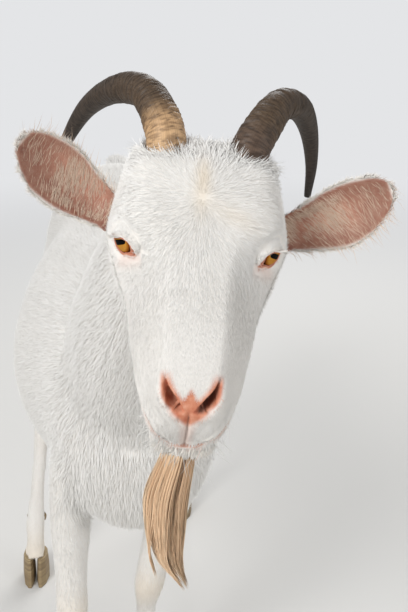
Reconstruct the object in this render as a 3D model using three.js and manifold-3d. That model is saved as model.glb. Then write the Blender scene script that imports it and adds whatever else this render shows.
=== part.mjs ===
// Horned white dairy goat, an adult doe standing still, modelled as solids in millimetres.
// +Z is up, the goat faces -Y and its left side is +X. The origin ends up on the floor, below
// the middle of the whole body. The outline of every solid is the outline of the coat.
import * as THREE from "three";
import { mergeVertices } from "three/addons/utils/BufferGeometryUtils.js";
import Module from "manifold-3d";

const wasm = await Module();
wasm.setup();

// ---------------------------------------------------------------- driving dimensions (mm)
const GAP = 0.3; // clearance between neighbouring pieces

// Trunk stations from breast to buttocks: y, top line, bottom line, half-width, height of the
// widest place as a share of the depth, and how square the upper and lower quarters are.
const TRUNK = [
  { y: -108, mid: 30, top: 628, bottom: 528, half: 44, wide: 0.5, over: 2.0, under: 2.0 },
  { y: -86, mid: 30, top: 682, bottom: 474, half: 78, wide: 0.5, over: 2.0, under: 2.0 },
  { y: -50, mid: 28, top: 735, bottom: 430, half: 101, wide: 0.46, over: 1.8, under: 2.1 },
  { y: 0, mid: 24, top: 776, bottom: 418, half: 113, wide: 0.44, over: 1.6, under: 2.1 },
  { y: 45, mid: 18, top: 792, bottom: 420, half: 122, wide: 0.43, over: 1.6, under: 2.1 },
  { y: 120, mid: 10, top: 786, bottom: 408, half: 141, wide: 0.42, over: 1.7, under: 2.2 },
  { y: 210, mid: 3, top: 779, bottom: 392, half: 164, wide: 0.42, over: 1.8, under: 2.2 },
  { y: 310, mid: 0, top: 777, bottom: 384, half: 176, wide: 0.4, over: 1.8, under: 2.2 },
  { y: 410, mid: 0, top: 781, bottom: 396, half: 172, wide: 0.42, over: 1.8, under: 2.2 },
  { y: 490, mid: 0, top: 790, bottom: 428, half: 157, wide: 0.46, over: 1.9, under: 2.1 },
  { y: 560, mid: 0, top: 802, bottom: 470, half: 142, wide: 0.52, over: 2.1, under: 2.0 },
  { y: 635, mid: 0, top: 806, bottom: 508, half: 130, wide: 0.54, over: 2.1, under: 2.0 },
  { y: 700, mid: 0, top: 790, bottom: 548, half: 110, wide: 0.54, over: 2.1, under: 2.0 },
  { y: 748, mid: 0, top: 760, bottom: 598, half: 80, wide: 0.54, over: 2.0, under: 2.0 },
  { y: 774, mid: 0, top: 738, bottom: 652, half: 42, wide: 0.5, over: 2.0, under: 2.0 },
];
const WITHERS_Y = 45;
const HOOK_BONE = { x: 92, y: 560, z: 786 };
const PIN_BONE = { x: 52, y: 758, z: 712 };

// Neck: centre, half-depth and half-width from inside the chest up to the nape.
const NECK = [
  { x: 16, y: 70, z: 628, depth: 128, width: 88 },
  { x: 22, y: -2, z: 672, depth: 124, width: 86 },
  { x: 30, y: -76, z: 736, depth: 108, width: 78 },
  { x: 45, y: -140, z: 812, depth: 90, width: 67 },
  { x: 62, y: -192, z: 880, depth: 77, width: 58 },
  { x: 76, y: -234, z: 921, depth: 63, width: 52 },
  { x: 84, y: -268, z: 934, depth: 50, width: 44 },
];

// Head frame: s runs from the nape to the nose tip, u stands up from the axis of the face.
const HEAD = { x: 83, y: -345, z: 910, pitch: 35, roll: 6, yaw: -3 };
const HEAD_AT = 95; // the value of s at the head frame's own origin
// Head stations: top and bottom of the profile, then half-width at the crown's edge, at the
// widest place and at the jaw, with the heights of the last two.
const SKULL = [
  { s: -12, top: 2, bottom: -16, crown: 14, cheek: 24, at: -6, jaw: 14, low: -12 },
  { s: -3, top: 22, bottom: -34, crown: 32, cheek: 44, at: -4, jaw: 28, low: -24 },
  { s: 12, top: 45, bottom: -52, crown: 46, cheek: 61, at: 0, jaw: 36, low: -38 },
  { s: 32, top: 57, bottom: -66, crown: 54, cheek: 70, at: 4, jaw: 42, low: -50 },
  { s: 55, top: 61, bottom: -74, crown: 53, cheek: 74, at: 4, jaw: 43, low: -56 },
  { s: 78, top: 58, bottom: -76, crown: 48, cheek: 75, at: 2, jaw: 42, low: -57 },
  { s: 99, top: 50, bottom: -72, crown: 40, cheek: 71, at: -3, jaw: 39, low: -54 },
  { s: 116, top: 45, bottom: -66, crown: 32, cheek: 65, at: -9, jaw: 35, low: -49 },
  { s: 135, top: 41, bottom: -61, crown: 28, cheek: 58, at: -12, jaw: 32, low: -46 },
  { s: 155, top: 38, bottom: -57, crown: 27, cheek: 53.5, at: -13, jaw: 29, low: -43 },
  { s: 178, top: 35, bottom: -54, crown: 26, cheek: 50, at: -13, jaw: 28, low: -42 },
  { s: 200, top: 32, bottom: -55, crown: 25, cheek: 45, at: -13, jaw: 26, low: -41 },
  { s: 220, top: 29, bottom: -59, crown: 23, cheek: 40, at: -14, jaw: 24, low: -44 },
  { s: 236, top: 24, bottom: -64, crown: 21, cheek: 34, at: -15, jaw: 22, low: -49 },
  { s: 248, top: 15, bottom: -67, crown: 17, cheek: 28, at: -18, jaw: 22, low: -51 },
  { s: 256, top: 3, bottom: -62, crown: 12, cheek: 21, at: -20, jaw: 18, low: -49 },
];
const MOUTH = { front: -26, corner: -19, cornerS: 192 };
const EYE = { x: 52, s: 97, u: 14, radius: 16, outward: 50, rise: 10, lid: 2.2, long: 28, high: 18 };
const NOSTRIL = { x: 15, s: 244, u: 14 };

// Horns, as points in the head frame (x, s, u) from base to tip; each has its own sweep.
const HORN_RADIUS = { base: 21, tip: 4, sideways: 0.84 };
const HORN_RINGS = 22;
const HORN_RIDGES = 9;
const HORN_RIGHT = [
  [-32, 34, 34],
  [-33, 20, 50],
  [-39, 1, 56],
  [-55, -35, 51],
  [-83, -69, 21],
  [-111, -87, -20],
  [-132, -88, -66],
  [-148, -77, -109],
];
const HORN_LEFT = [
  [35, 34, 34],
  [38, 20, 49],
  [47, 0, 55],
  [63, -33, 53],
  [87, -63, 26],
  [104, -73, -10],
  [114, -67, -48],
  [116, -54, -79],
];

// Ears: root and tips in the head frame, half-width, thickness and depth of the hollow.
const EAR = { root: [57, 53, -27], half: 31, thick: 5, cup: 15, toFront: [0.1, -0.62, 0.78] };
const EAR_TIP = { right: [-152, 16, 37], left: [166, 35, 28] };

const BEARD = { s: 236, length: 150, half: 20, thick: 15, aside: -16 };

// Legs as stations from the top down: centre (x outwards), half-length fore and aft, half-width.
const FORE_RIGHT = [
  { x: 34, y: 50, z: 700, deep: 40, wide: 24 },
  { x: 42, y: 24, z: 650, deep: 50, wide: 32 },
  { x: 46, y: 6, z: 590, deep: 60, wide: 36 },
  { x: 57, y: 4, z: 520, deep: 62, wide: 37 },
  { x: 67, y: 14, z: 450, deep: 46, wide: 32 },
  { x: 71, y: 15, z: 385, deep: 34, wide: 29 },
  { x: 73, y: 11, z: 320, deep: 27, wide: 24 },
  { x: 74, y: 6, z: 285, deep: 27, wide: 25 },
  { x: 74, y: 5, z: 258, deep: 26, wide: 24 },
  { x: 75, y: 9, z: 225, deep: 19, wide: 18 },
  { x: 75, y: 10, z: 170, deep: 17, wide: 16 },
  { x: 75, y: 8, z: 125, deep: 19, wide: 18 },
  { x: 75, y: 8, z: 104, deep: 22, wide: 21 },
  { x: 75, y: 0, z: 78, deep: 19, wide: 19 },
  { x: 75, y: -6, z: 52, deep: 24, wide: 23 },
];
const FORE_LEFT = [
  { x: 78, y: 56, z: 700, deep: 40, wide: 24 },
  { x: 84, y: 30, z: 650, deep: 50, wide: 32 },
  { x: 88, y: 14, z: 590, deep: 60, wide: 36 },
  { x: 88, y: 16, z: 520, deep: 62, wide: 37 },
  { x: 80, y: 34, z: 450, deep: 46, wide: 32 },
  { x: 64, y: 46, z: 385, deep: 34, wide: 29 },
  { x: 49, y: 54, z: 320, deep: 27, wide: 24 },
  { x: 43, y: 56, z: 285, deep: 27, wide: 25 },
  { x: 39, y: 60, z: 258, deep: 26, wide: 24 },
  { x: 35, y: 69, z: 225, deep: 19, wide: 18 },
  { x: 32, y: 80, z: 170, deep: 17, wide: 16 },
  { x: 31, y: 86, z: 125, deep: 19, wide: 18 },
  { x: 30, y: 90, z: 104, deep: 22, wide: 21 },
  { x: 30, y: 85, z: 78, deep: 19, wide: 19 },
  { x: 30, y: 80, z: 52, deep: 24, wide: 23 },
];
const HIND_LEFT = [
  { x: 58, y: 644, z: 725, deep: 60, wide: 34 },
  { x: 80, y: 634, z: 674, deep: 98, wide: 50 },
  { x: 97, y: 620, z: 600, deep: 112, wide: 54 },
  { x: 104, y: 606, z: 520, deep: 92, wide: 46 },
  { x: 109, y: 614, z: 455, deep: 66, wide: 36 },
  { x: 112, y: 652, z: 392, deep: 42, wide: 26 },
  { x: 114, y: 692, z: 345, deep: 29, wide: 20 },
  { x: 116, y: 708, z: 312, deep: 30, wide: 21 },
  { x: 117, y: 706, z: 280, deep: 26, wide: 19 },
  { x: 118, y: 697, z: 235, deep: 19, wide: 16 },
  { x: 119, y: 684, z: 180, deep: 18, wide: 15 },
  { x: 120, y: 672, z: 135, deep: 19, wide: 17 },
  { x: 120, y: 667, z: 112, deep: 22, wide: 20 },
  { x: 120, y: 658, z: 82, deep: 19, wide: 18 },
  { x: 120, y: 651, z: 52, deep: 24, wide: 22 },
];
const HIND_RIGHT = [
  { x: 58, y: 642, z: 725, deep: 60, wide: 34 },
  { x: 80, y: 626, z: 674, deep: 98, wide: 50 },
  { x: 104, y: 590, z: 600, deep: 110, wide: 54 },
  { x: 119, y: 558, z: 520, deep: 90, wide: 46 },
  { x: 133, y: 542, z: 450, deep: 66, wide: 36 },
  { x: 146, y: 552, z: 385, deep: 43, wide: 26 },
  { x: 156, y: 570, z: 338, deep: 30, wide: 20 },
  { x: 162, y: 574, z: 305, deep: 31, wide: 21 },
  { x: 167, y: 562, z: 274, deep: 26, wide: 19 },
  { x: 173, y: 536, z: 228, deep: 19, wide: 16 },
  { x: 178, y: 505, z: 176, deep: 18, wide: 15 },
  { x: 182, y: 480, z: 134, deep: 19, wide: 17 },
  { x: 183, y: 468, z: 112, deep: 22, wide: 20 },
  { x: 184, y: 452, z: 82, deep: 19, wide: 18 },
  { x: 185, y: 440, z: 52, deep: 24, wide: 22 },
];
const SIDES = 12; // faces round a leg
const CLAW = { height: 51.6, long: 76, half: 12.5, apart: 2.4 };
const DEWCLAW = { length: 20, radius: 7 };
const TAIL = { y: 752, z: 764, length: 118, half: 24 };
const NAPE_CUT = { point: new THREE.Vector3(80, -246, 935), way: new THREE.Vector3(0.06, -0.8, 0.6) };
const CHEST_CUT = { point: new THREE.Vector3(20, -30, 700), way: new THREE.Vector3(0.12, -0.7, 0.7) };
const UDDER = { y: 596, z: 446, half: 74, deep: 72, drop: 78, teat: 34 };

// ---------------------------------------------------------------- helpers
const rad = THREE.MathUtils.degToRad;
const vec = (x, y, z) => new THREE.Vector3(x, y, z);
const bell = (d, width) => Math.exp(-((d / width) ** 2));

// A smooth reading of a list of stations: the value of every key at place k along the list.
function readAlong(list, key) {
  const values = list.map((row) => row[key]);
  const last = values.length - 1;
  return (k) => {
    const i = Math.min(Math.floor(k), last - 1);
    const t = k - i;
    const before = values[Math.max(i - 1, 0)];
    const after = values[Math.min(i + 2, last)];
    const slopeA = (values[i + 1] - before) / 2;
    const slopeB = (after - values[i]) / 2;
    const bend = values[i + 1] - values[i];
    const c3 = slopeA + slopeB - 2 * bend;
    const c2 = 3 * bend - 2 * slopeA - slopeB;
    return values[i] + t * (slopeA + t * (c2 + t * c3));
  };
}

// A closed solid through rings of points, with its two ends drawn to their centres.
function skinOver(rings, reach = [0, 0]) {
  const sides = rings[0].length;
  const points = rings.flat();
  const faces = [];
  for (let r = 0; r + 1 < rings.length; r += 1) {
    for (let i = 0; i < sides; i += 1) {
      const a = r * sides + i;
      const b = r * sides + ((i + 1) % sides);
      faces.push(a, b, b + sides, a, b + sides, a + sides);
    }
  }
  const middle = (ring) => ring.reduce((sum, p) => sum.add(p), vec(0, 0, 0)).divideScalar(sides);
  const ends = [middle(rings[0]), middle(rings.at(-1))];
  const ways = [middle(rings[1]), middle(rings.at(-2))];
  ends.forEach((end, e) => {
    const way = end.clone().sub(ways[e]).normalize();
    const apex = points.push(end.addScaledVector(way, reach[e])) - 1;
    const base = e === 0 ? 0 : (rings.length - 1) * sides;
    for (let i = 0; i < sides; i += 1) {
      const a = base + i;
      const b = base + ((i + 1) % sides);
      faces.push(...(e === 0 ? [b, a, apex] : [a, b, apex]));
    }
  });
  return facesOut(points, faces);
}

// A geometry from points and faces, turned so that its faces look outwards.
function facesOut(points, faces) {
  let volume = 0;
  for (let i = 0; i < faces.length; i += 3) {
    const [a, b, c] = [points[faces[i]], points[faces[i + 1]], points[faces[i + 2]]];
    volume += a.dot(b.clone().cross(c));
  }
  const order = volume < 0 ? [0, 2, 1] : [0, 1, 2];
  const index = faces.map((_, i) => faces[i - (i % 3) + order[i % 3]]);
  const geometry = new THREE.BufferGeometry().setFromPoints(points);
  geometry.setIndex(index);
  return geometry;
}

function solid(geometry) {
  const bare = geometry.clone();
  bare.deleteAttribute("normal");
  bare.deleteAttribute("uv");
  const merged = mergeVertices(bare, 1e-4);
  const data = {
    numProp: 3,
    vertProperties: new Float32Array(merged.attributes.position.array),
    triVerts: new Uint32Array(merged.index.array),
  };
  return new wasm.Manifold(new wasm.Mesh(data));
}

function geometryOf(body) {
  const { vertProperties, triVerts } = body.getMesh();
  const geometry = new THREE.BufferGeometry();
  geometry.setAttribute("position", new THREE.BufferAttribute(vertProperties, 3));
  geometry.setIndex(new THREE.BufferAttribute(triVerts, 1));
  return geometry;
}

const join = (bodies) => bodies.reduce((sum, body) => sum.add(body));
const power = (value, exponent) => Math.sign(value) * Math.abs(value) ** exponent;

// A ring of points in the plane of two directions: an ellipse made squarer or rounder.
function ovalRing(centre, across, up, wide, high, sides, square = 2) {
  const ring = [];
  for (let i = 0; i < sides; i += 1) {
    const turn = (i / sides) * Math.PI * 2;
    const a = wide * power(Math.cos(turn), 2 / square);
    const b = high * power(Math.sin(turn), 2 / square);
    ring.push(centre.clone().addScaledVector(across, a).addScaledVector(up, b));
  }
  return ring;
}

const headTurn = new THREE.Matrix4()
  .makeRotationZ(rad(HEAD.yaw))
  .multiply(new THREE.Matrix4().makeRotationY(rad(HEAD.roll)))
  .multiply(new THREE.Matrix4().makeRotationX(rad(HEAD.pitch)));
const headFrame = new THREE.Matrix4().makeTranslation(HEAD.x, HEAD.y, HEAD.z).multiply(headTurn);
const inHead = (x, s, u) => vec(x, HEAD_AT - s, u).applyMatrix4(headFrame);

// ---------------------------------------------------------------- trunk, neck, tail, udder
function trunkSolid(extra = 0) {
  const sides = 20;
  const keys = ["y", "mid", "top", "bottom", "half", "wide", "over", "under"];
  const read = Object.fromEntries(keys.map((key) => [key, readAlong(TRUNK, key)]));
  const rings = [];
  for (let k = 0; k <= TRUNK.length - 1 + 1e-6; k += 7 / 9) {
    const place = Math.min(k, TRUNK.length - 1);
    const [y, mid, high, low, flat, wide, over, under] = keys.map((key) => read[key](place));
    const [top, bottom, half] = [high + extra, low - extra, flat + extra];
    const level = bottom + (top - bottom) * wide;
    const ring = [];
    for (let i = 0; i < sides; i += 1) {
      const turn = (i / sides) * Math.PI * 2;
      const rise = Math.sin(turn);
      const square = rise > 0 ? over : under;
      const reach = rise > 0 ? top - level : level - bottom;
      const p = vec(half * power(Math.cos(turn), 2 / square), y, level + reach * power(rise, 2 / square));
      const side = Math.sign(p.x) || 0;
      const flank = bell(y - 478, 62) * bell(p.z - 690, 66);
      const hookAt = bell(y - HOOK_BONE.y, 42) * bell(p.z - HOOK_BONE.z, 34);
      const hook = hookAt * bell(Math.abs(p.x) - HOOK_BONE.x, 50);
      const pin = bell(y - PIN_BONE.y, 30) * bell(p.z - PIN_BONE.z, 30);
      const shoulder = bell(y - 20, 70) * bell(p.z - 640, 90);
      p.x += side * (11 * hook + 8 * pin + 5 * shoulder - 13 * flank);
      p.z += 8 * hook * Math.min(1, Math.abs(p.x) / 60);
      const spine = bell(p.x, 26) * (rise > 0 ? 1 : 0) * bell(y - WITHERS_Y, 60);
      p.z += 5 * spine;
      p.x += mid;
      ring.push(p);
    }
    rings.push(ring);
  }
  return solid(skinOver(rings, [5 + extra, 7 + extra]));
}

function neckSolid(extra = 0) {
  const sides = 18;
  const path = new THREE.CatmullRomCurve3(NECK.map(({ x, y, z }) => vec(x, y, z)));
  const depth = readAlong(NECK, "depth");
  const width = readAlong(NECK, "width");
  const rings = [];
  const steps = 11;
  for (let j = 0; j <= steps; j += 1) {
    const t = j / steps;
    const along = path.getTangent(t);
    const across = vec(1, 0, 0).addScaledVector(along, -along.x).normalize();
    const up = across.clone().cross(along).normalize();
    const k = t * (NECK.length - 1);
    rings.push(ovalRing(path.getPoint(t), across, up, width(k) + extra, depth(k) + extra, sides, 2.1));
  }
  return solid(skinOver(rings, [extra, 10 + extra]));
}

function tailSolid(extra = 0) {
  const rings = [];
  for (let j = 0; j <= 8; j += 1) {
    const t = j / 8;
    const rise = 26 * Math.sin(t * 2.6) - 34 * t * t;
    const centre = vec(-3 * t, TAIL.y + TAIL.length * 0.82 * t, TAIL.z + rise);
    const half = TAIL.half * (0.82 + 0.45 * t - 1.05 * t * t * t) + extra;
    rings.push(ovalRing(centre, vec(1, 0, 0), vec(0, 0.3, 1).normalize(), half, half * 0.52 + extra, 10));
  }
  return solid(skinOver(rings, [6 + extra, 5 + extra]));
}

function udderSolid() {
  const bag = (side) => {
    const ball = new THREE.SphereGeometry(1, 10, 7);
    ball.scale(UDDER.half * 0.66, UDDER.deep, UDDER.drop);
    ball.translate(side * UDDER.half * 0.4, UDDER.y, UDDER.z);
    return solid(ball);
  };
  const teat = (side) => {
    const rings = [];
    for (let j = 0; j <= 4; j += 1) {
      const t = j / 4;
      const level = UDDER.z - UDDER.drop + 14 - t * UDDER.teat;
      const centre = vec(side * (40 + 6 * t), UDDER.y - 22 - 12 * t, level);
      rings.push(ovalRing(centre, vec(1, 0, 0), vec(0, 1, 0), 12 - 5 * t, 12 - 5 * t, 8));
    }
    return solid(skinOver(rings, [0, 4]));
  };
  return join([bag(1), bag(-1), teat(1), teat(-1)]);
}

// ---------------------------------------------------------------- legs and hooves
// The stations of a leg, set on its own side.
function legStations(list, side) {
  return list.map((row) => ({ ...row, x: side * row.x }));
}

function legSolid(stations, extra = 0) {
  const keys = ["x", "y", "z", "deep", "wide"];
  const read = Object.fromEntries(keys.map((key) => [key, readAlong(stations, key)]));
  const rings = [];
  const last = stations.length - 1;
  for (let k = 0; k <= last + 1e-6; k += k < 4 ? 1 : 5 / 6) {
    const place = Math.min(k, last);
    const [x, y, z, deep, wide] = keys.map((key) => read[key](place));
    rings.push(ovalRing(vec(x, y, z), vec(1, 0, 0), vec(0, 1, 0), wide + extra, deep + extra, SIDES, 2.1));
  }
  return solid(skinOver(rings, [8 + extra, extra]));
}

// One claw: a flat sole on the floor, a steep toe in front and a low heel behind.
function clawSolid(foot, side) {
  const rings = [];
  const top = CLAW.height;
  for (let j = 0; j <= 3; j += 1) {
    const t = j / 3;
    const long = CLAW.long * (1 - 0.36 * t);
    const half = CLAW.half * (1 - 0.2 * t * t) * (j === 0 ? 0.94 : 1);
    const centre = vec(foot.x + side * (CLAW.half + CLAW.apart / 2), foot.y - 4 + 8 * t, top * t);
    const ring = [];
    for (let i = 0; i < 10; i += 1) {
      const turn = (i / 10) * Math.PI * 2;
      const a = half * power(Math.cos(turn), 0.8);
      const b = (long / 2) * power(Math.sin(turn), 0.9);
      const toe = Math.max(0, -Math.sin(turn)) ** 2;
      ring.push(centre.clone().add(vec(a * (1 - 0.42 * toe) - side * toe * half * 0.35, b, 0)));
    }
    rings.push(ring);
  }
  return solid(skinOver(rings, [0, 0]));
}

function dewclawSolid(foot, side, extra = 0) {
  const rings = [];
  for (let j = 0; j <= 3; j += 1) {
    const t = j / 3;
    const centre = vec(foot.x + side * 13, foot.y + 18 + 13 * t, foot.z + 2 - DEWCLAW.length * t);
    const r = DEWCLAW.radius * (1 - 0.5 * t * t) + extra;
    rings.push(ovalRing(centre, vec(1, 0, 0), vec(0, 0.6, 0.8), r, r * 0.9, 6));
  }
  return solid(skinOver(rings, [extra, 2 + extra]));
}

// ---------------------------------------------------------------- head
const sideOf = { right: -1, left: 1 };

function skullSolid() {
  const keys = ["s", "top", "bottom", "crown", "cheek", "at", "jaw", "low"];
  const read = Object.fromEntries(keys.map((key) => [key, readAlong(SKULL, key)]));
  const half = 10; // spaces from the top of the section to its bottom, on each side
  const last = SKULL.length - 1;
  const rings = [];
  for (let k = 0; k <= last + 1e-6; k += k < 4 ? 0.75 : 0.6) {
    const [s, top, bottom, crown, cheek, at, jaw, low] = keys.map((key) => read[key](Math.min(k, last)));
    const edge = top - Math.min(6, crown * 0.2);
    const side = [
      [0, top],
      [crown * 0.62, top - (top - edge) * 0.28],
      [crown, edge],
      [(crown + cheek) / 2 + 1.5, (edge * 0.5 + at * 0.5) + 3],
      [cheek, at],
      [(cheek + jaw) / 2 + 2, (at + low) / 2],
      [jaw, low],
      [jaw * 0.55, bottom + (low - bottom) * 0.22],
      [0, bottom],
    ];
    const outline = new THREE.SplineCurve(side.map(([x, u]) => new THREE.Vector2(x, u)));
    const right = outline.getPoints(half);
    const ring = right.map((p) => [p.x, p.y]);
    for (let i = half - 1; i > 0; i -= 1) ring.push([-right[i].x, right[i].y]);
    rings.push(ring.map(([x, u]) => shapeHead(x, s, u)));
  }
  return solid(skinOver(rings, [8, 4]));
}

// The bones and folds that stand out of or sink into the plain sections of the head.
function shapeHead(x, s, u) {
  const side = Math.sign(x);
  const off = Math.abs(x);
  const brow = bell(s - 88, 22) * bell(u - 38, 13) * bell(off - 44, 24);
  const orbit = bell(s - 96, 20) * bell(u - 15, 20) * bell(off - 60, 24);
  const socket = bell(s - 112, 15) * bell(u - 12, 17) * bell(off - 60, 26);
  const cheekbone = bell(s - 118, 26) * bell(u + 14, 12) * bell(off - 56, 22);
  const wing = bell(s - 243, 10) * bell(u - 12, 12) * bell(off - 24, 12);
  const lip = bell(s - 246, 14) * bell(u + 14, 9) * bell(off - 16, 16);
  const chin = bell(s - 238, 12) * bell(u + 44, 10);
  const whorl = bell(off, 34) * bell(s - 66, 26) * bell(u - 58, 18);
  const furrow = bell(off, 5) * bell(s - 256, 9) * bell(u + 8, 16);
  return inHead(
    x + side * (9 * brow + 8 * orbit - 4 * socket + 3 * cheekbone + 3 * wing + 2 * lip),
    s + 3 * lip - 2.5 * furrow,
    u + 4 * brow + 3 * whorl + 1.5 * wing - 3 * chin,
  );
}

// The eye's own frame: its centre, the way it looks and the way its opening runs.
function eyeFrame(side) {
  const centre = inHead(side * EYE.x, EYE.s, EYE.u);
  const out = rad(EYE.outward);
  const rise = rad(EYE.rise);
  const look = vec(side * Math.sin(out) * Math.cos(rise), -Math.cos(out) * Math.cos(rise), Math.sin(rise));
  look.transformDirection(headFrame);
  const up = vec(0, 0.12, 1).transformDirection(headFrame);
  up.addScaledVector(look, -up.dot(look)).normalize();
  const along = up.clone().cross(look).normalize();
  return { centre, look, up, along };
}

function ballAt(centre, radius, round = 12) {
  const ball = new THREE.SphereGeometry(radius, round, Math.round(round * 0.7));
  ball.translate(centre.x, centre.y, centre.z);
  return ball;
}

// The almond opening of the lids, as a prism along the eye's look.
function almondCutter(eye) {
  const shape = new THREE.Shape();
  const [a, b] = [EYE.long / 2, EYE.high / 2];
  shape.moveTo(-a, 0);
  shape.bezierCurveTo(-a * 0.6, -b * 1.15, a * 0.45, -b * 1.35, a, 0);
  shape.bezierCurveTo(a * 0.5, b * 1.35, -a * 0.5, b * 1.35, -a, 0);
  const cutter = new THREE.ExtrudeGeometry(shape, { depth: 30, bevelEnabled: false, curveSegments: 4 });
  const basis = new THREE.Matrix4().makeBasis(eye.along, eye.up, eye.look).setPosition(eye.centre);
  return solid(cutter.applyMatrix4(basis));
}

// A prism right across the head over a profile of (s, u) points.
function headPrism(profile) {
  const shape = new THREE.Shape(profile.map(([s, u]) => new THREE.Vector2(s, u)));
  const prism = new THREE.ExtrudeGeometry(shape, { depth: 240, bevelEnabled: false, steps: 1 });
  prism.translate(0, 0, -120);
  const turn = new THREE.Matrix4().makeBasis(vec(0, -1, 0), vec(0, 0, 1), vec(-1, 0, 0));
  turn.setPosition(0, HEAD_AT, 0);
  return solid(prism.applyMatrix4(turn).applyMatrix4(headFrame));
}

// The jaw lies below the line of the mouth and of the cheek, lowered by a clearance.
function jawProfile(drop) {
  return [
    [300, MOUTH.front - drop],
    [250, MOUTH.front - drop],
    [MOUTH.cornerS, MOUTH.corner - drop],
    [120, -34 - drop],
    [64, -52 - drop],
    [34 + drop, -120],
    [300, -120],
  ];
}

function nostrilCutter(side) {
  const ball = new THREE.SphereGeometry(1, 12, 8);
  ball.scale(3.6, 6.2, 6.6);
  ball.rotateZ(side * 0.5);
  ball.rotateX(-0.5);
  ball.translate(side * NOSTRIL.x, HEAD_AT - NOSTRIL.s - 4, NOSTRIL.u);
  return solid(ball.applyMatrix4(headFrame));
}

// An ear: a leaf of crescent sections, open to the front, narrow at its root.
function earSolid(side, extra = 0) {
  const root = inHead(side * EAR.root[0], EAR.root[1], EAR.root[2]);
  const tip = inHead(...(side < 0 ? EAR_TIP.right : EAR_TIP.left));
  const length = tip.distanceTo(root);
  const tipWay = tip.clone().sub(root).normalize();
  const [faceX, faceY, faceU] = EAR.toFront;
  const face = vec(side * faceX, faceY, faceU).transformDirection(headFrame);
  face.addScaledVector(tipWay, -face.dot(tipWay)).normalize();
  const across = tipWay.clone().cross(face).normalize();
  const rings = [];
  const steps = 11;
  const margin = extra / length;
  for (let j = 0; j <= steps; j += 1) {
    const t = (1 - (1 - j / steps) ** 1.5) * (1 + 2 * margin) - margin;
    const round = Math.sqrt(Math.max(0.012, 1 - (Math.max(0, t - 0.5) / 0.51) ** 2.2));
    const half = EAR.half * (0.5 + 0.5 * THREE.MathUtils.smoothstep(t, 0.08, 0.7)) * round + 1.5 * extra;
    const cup = EAR.cup * (1.15 - 0.75 * t);
    const open = THREE.MathUtils.smoothstep(t, 0.06, 0.3); // the root is filled, the leaf is hollow
    const bow = 12 * Math.sin(t * Math.PI * 0.9) - 9 * t * t;
    const sag = side * 6 * Math.sin(t * Math.PI) - 4 * t * t;
    const centre = root.clone().addScaledVector(tipWay, length * t).addScaledVector(across, sag);
    centre.addScaledVector(face, -bow);
    const ring = [];
    const spread = 8;
    for (let i = 0; i <= spread; i += 1) {
      const v = ((i / spread) * 2 - 1) * (1 + 0.06 * extra);
      const p = centre.clone().addScaledVector(across, half * Math.sin(v * 1.25) / Math.sin(1.25));
      ring.push(p.addScaledVector(face, cup * (v * v - 0.5) - EAR.thick * 0.5 * (1 - v ** 4) - extra));
    }
    for (let i = spread - 1; i > 0; i -= 1) {
      const v = ((i / spread) * 2 - 1) * (1 + 0.06 * extra);
      const p = centre.clone().addScaledVector(across, half * 0.94 * Math.sin(v * 1.25) / Math.sin(1.25));
      const hollow = cup * (v * v - 0.5) + EAR.thick * 0.5 * (1.15 - v ** 4);
      ring.push(p.addScaledVector(face, THREE.MathUtils.lerp(cup * 0.56, hollow, open) + extra));
    }
    rings.push(ring);
  }
  return solid(skinOver(rings, [extra, 1.5 + extra]));
}

// A horn: an oval tube along a curve, swollen into rings that fade towards the tip.
function hornSolid(points, side, extra = 0) {
  const path = new THREE.CatmullRomCurve3(points.map(([x, s, u]) => inHead(x, s, u)));
  const rings = [];
  const front = vec(0, -0.6, 0.8).transformDirection(headFrame);
  for (let j = 0; j <= HORN_RINGS; j += 1) {
    const t = j / HORN_RINGS;
    const along = path.getTangentAt(t);
    const fore = front.clone().addScaledVector(along, -front.dot(along)).normalize();
    const across = fore.clone().cross(along).normalize();
    const taper = HORN_RADIUS.tip + (HORN_RADIUS.base - HORN_RADIUS.tip) * (1 - t ** 1.25);
    const wave = Math.sin(t ** 0.85 * HORN_RIDGES * Math.PI * 2 + side);
    const r = taper * (1 + 0.045 * wave * (1 - t) ** 0.7) + extra;
    rings.push(ovalRing(path.getPointAt(t), across, fore, r * HORN_RADIUS.sideways, r, 10, 2.1));
  }
  return solid(skinOver(rings, [2, 4]));
}

function beardSolid(extra = 0) {
  const rings = [];
  const start = inHead(-3, BEARD.s, -40);
  for (let j = 0; j <= 8; j += 1) {
    const t = j / 8;
    const sweep = vec(BEARD.aside * Math.sin(t * 2.4), -4 * Math.sin(t * 3), -BEARD.length * t);
    const centre = start.clone().add(sweep);
    const half = BEARD.half * (0.72 + 0.75 * t - 1.2 * t * t) + extra;
    const thick = BEARD.thick * (0.95 + 0.3 * t - 0.95 * t * t) + extra;
    rings.push(ovalRing(centre, vec(1, 0, 0), vec(0, 1, -0.1).normalize(), half, thick, 12));
  }
  return solid(skinOver(rings, [0, 4]));
}

// ---------------------------------------------------------------- assembly
const COAT = { color: 0xe9e6dd, roughness: 0.9, metalness: 0 };
const CREAM = { color: 0xdcc49c, roughness: 0.9, metalness: 0 };
const HORN_LOOK = { color: 0x6b5648, roughness: 0.6, metalness: 0 };
const HOOF_LOOK = { color: 0x8a7458, roughness: 0.6, metalness: 0 };
const EYE_LOOK = { color: 0xc08a3c, roughness: 0.15, metalness: 0 };
const PINK = { color: 0xdda58e, roughness: 0.75, metalness: 0 };

const goat = new THREE.Group();
goat.name = "goat";

function addPiece(name, body, look) {
  const geometry = geometryOf(body);
  const piece = new THREE.Mesh(geometry, new THREE.MeshStandardMaterial(look));
  piece.name = name;
  goat.add(piece);
  return piece;
}

// A big box used as a half-space: everything beyond a point along a direction.
function beyond(point, way, extra = 0) {
  const size = 2400;
  const box = new THREE.BoxGeometry(size, size, size);
  box.translate(0, 0, size / 2 - extra);
  const turn = new THREE.Quaternion().setFromUnitVectors(vec(0, 0, 1), way.clone().normalize());
  box.applyQuaternion(turn);
  box.translate(point.x, point.y, point.z);
  return solid(box);
}

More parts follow.
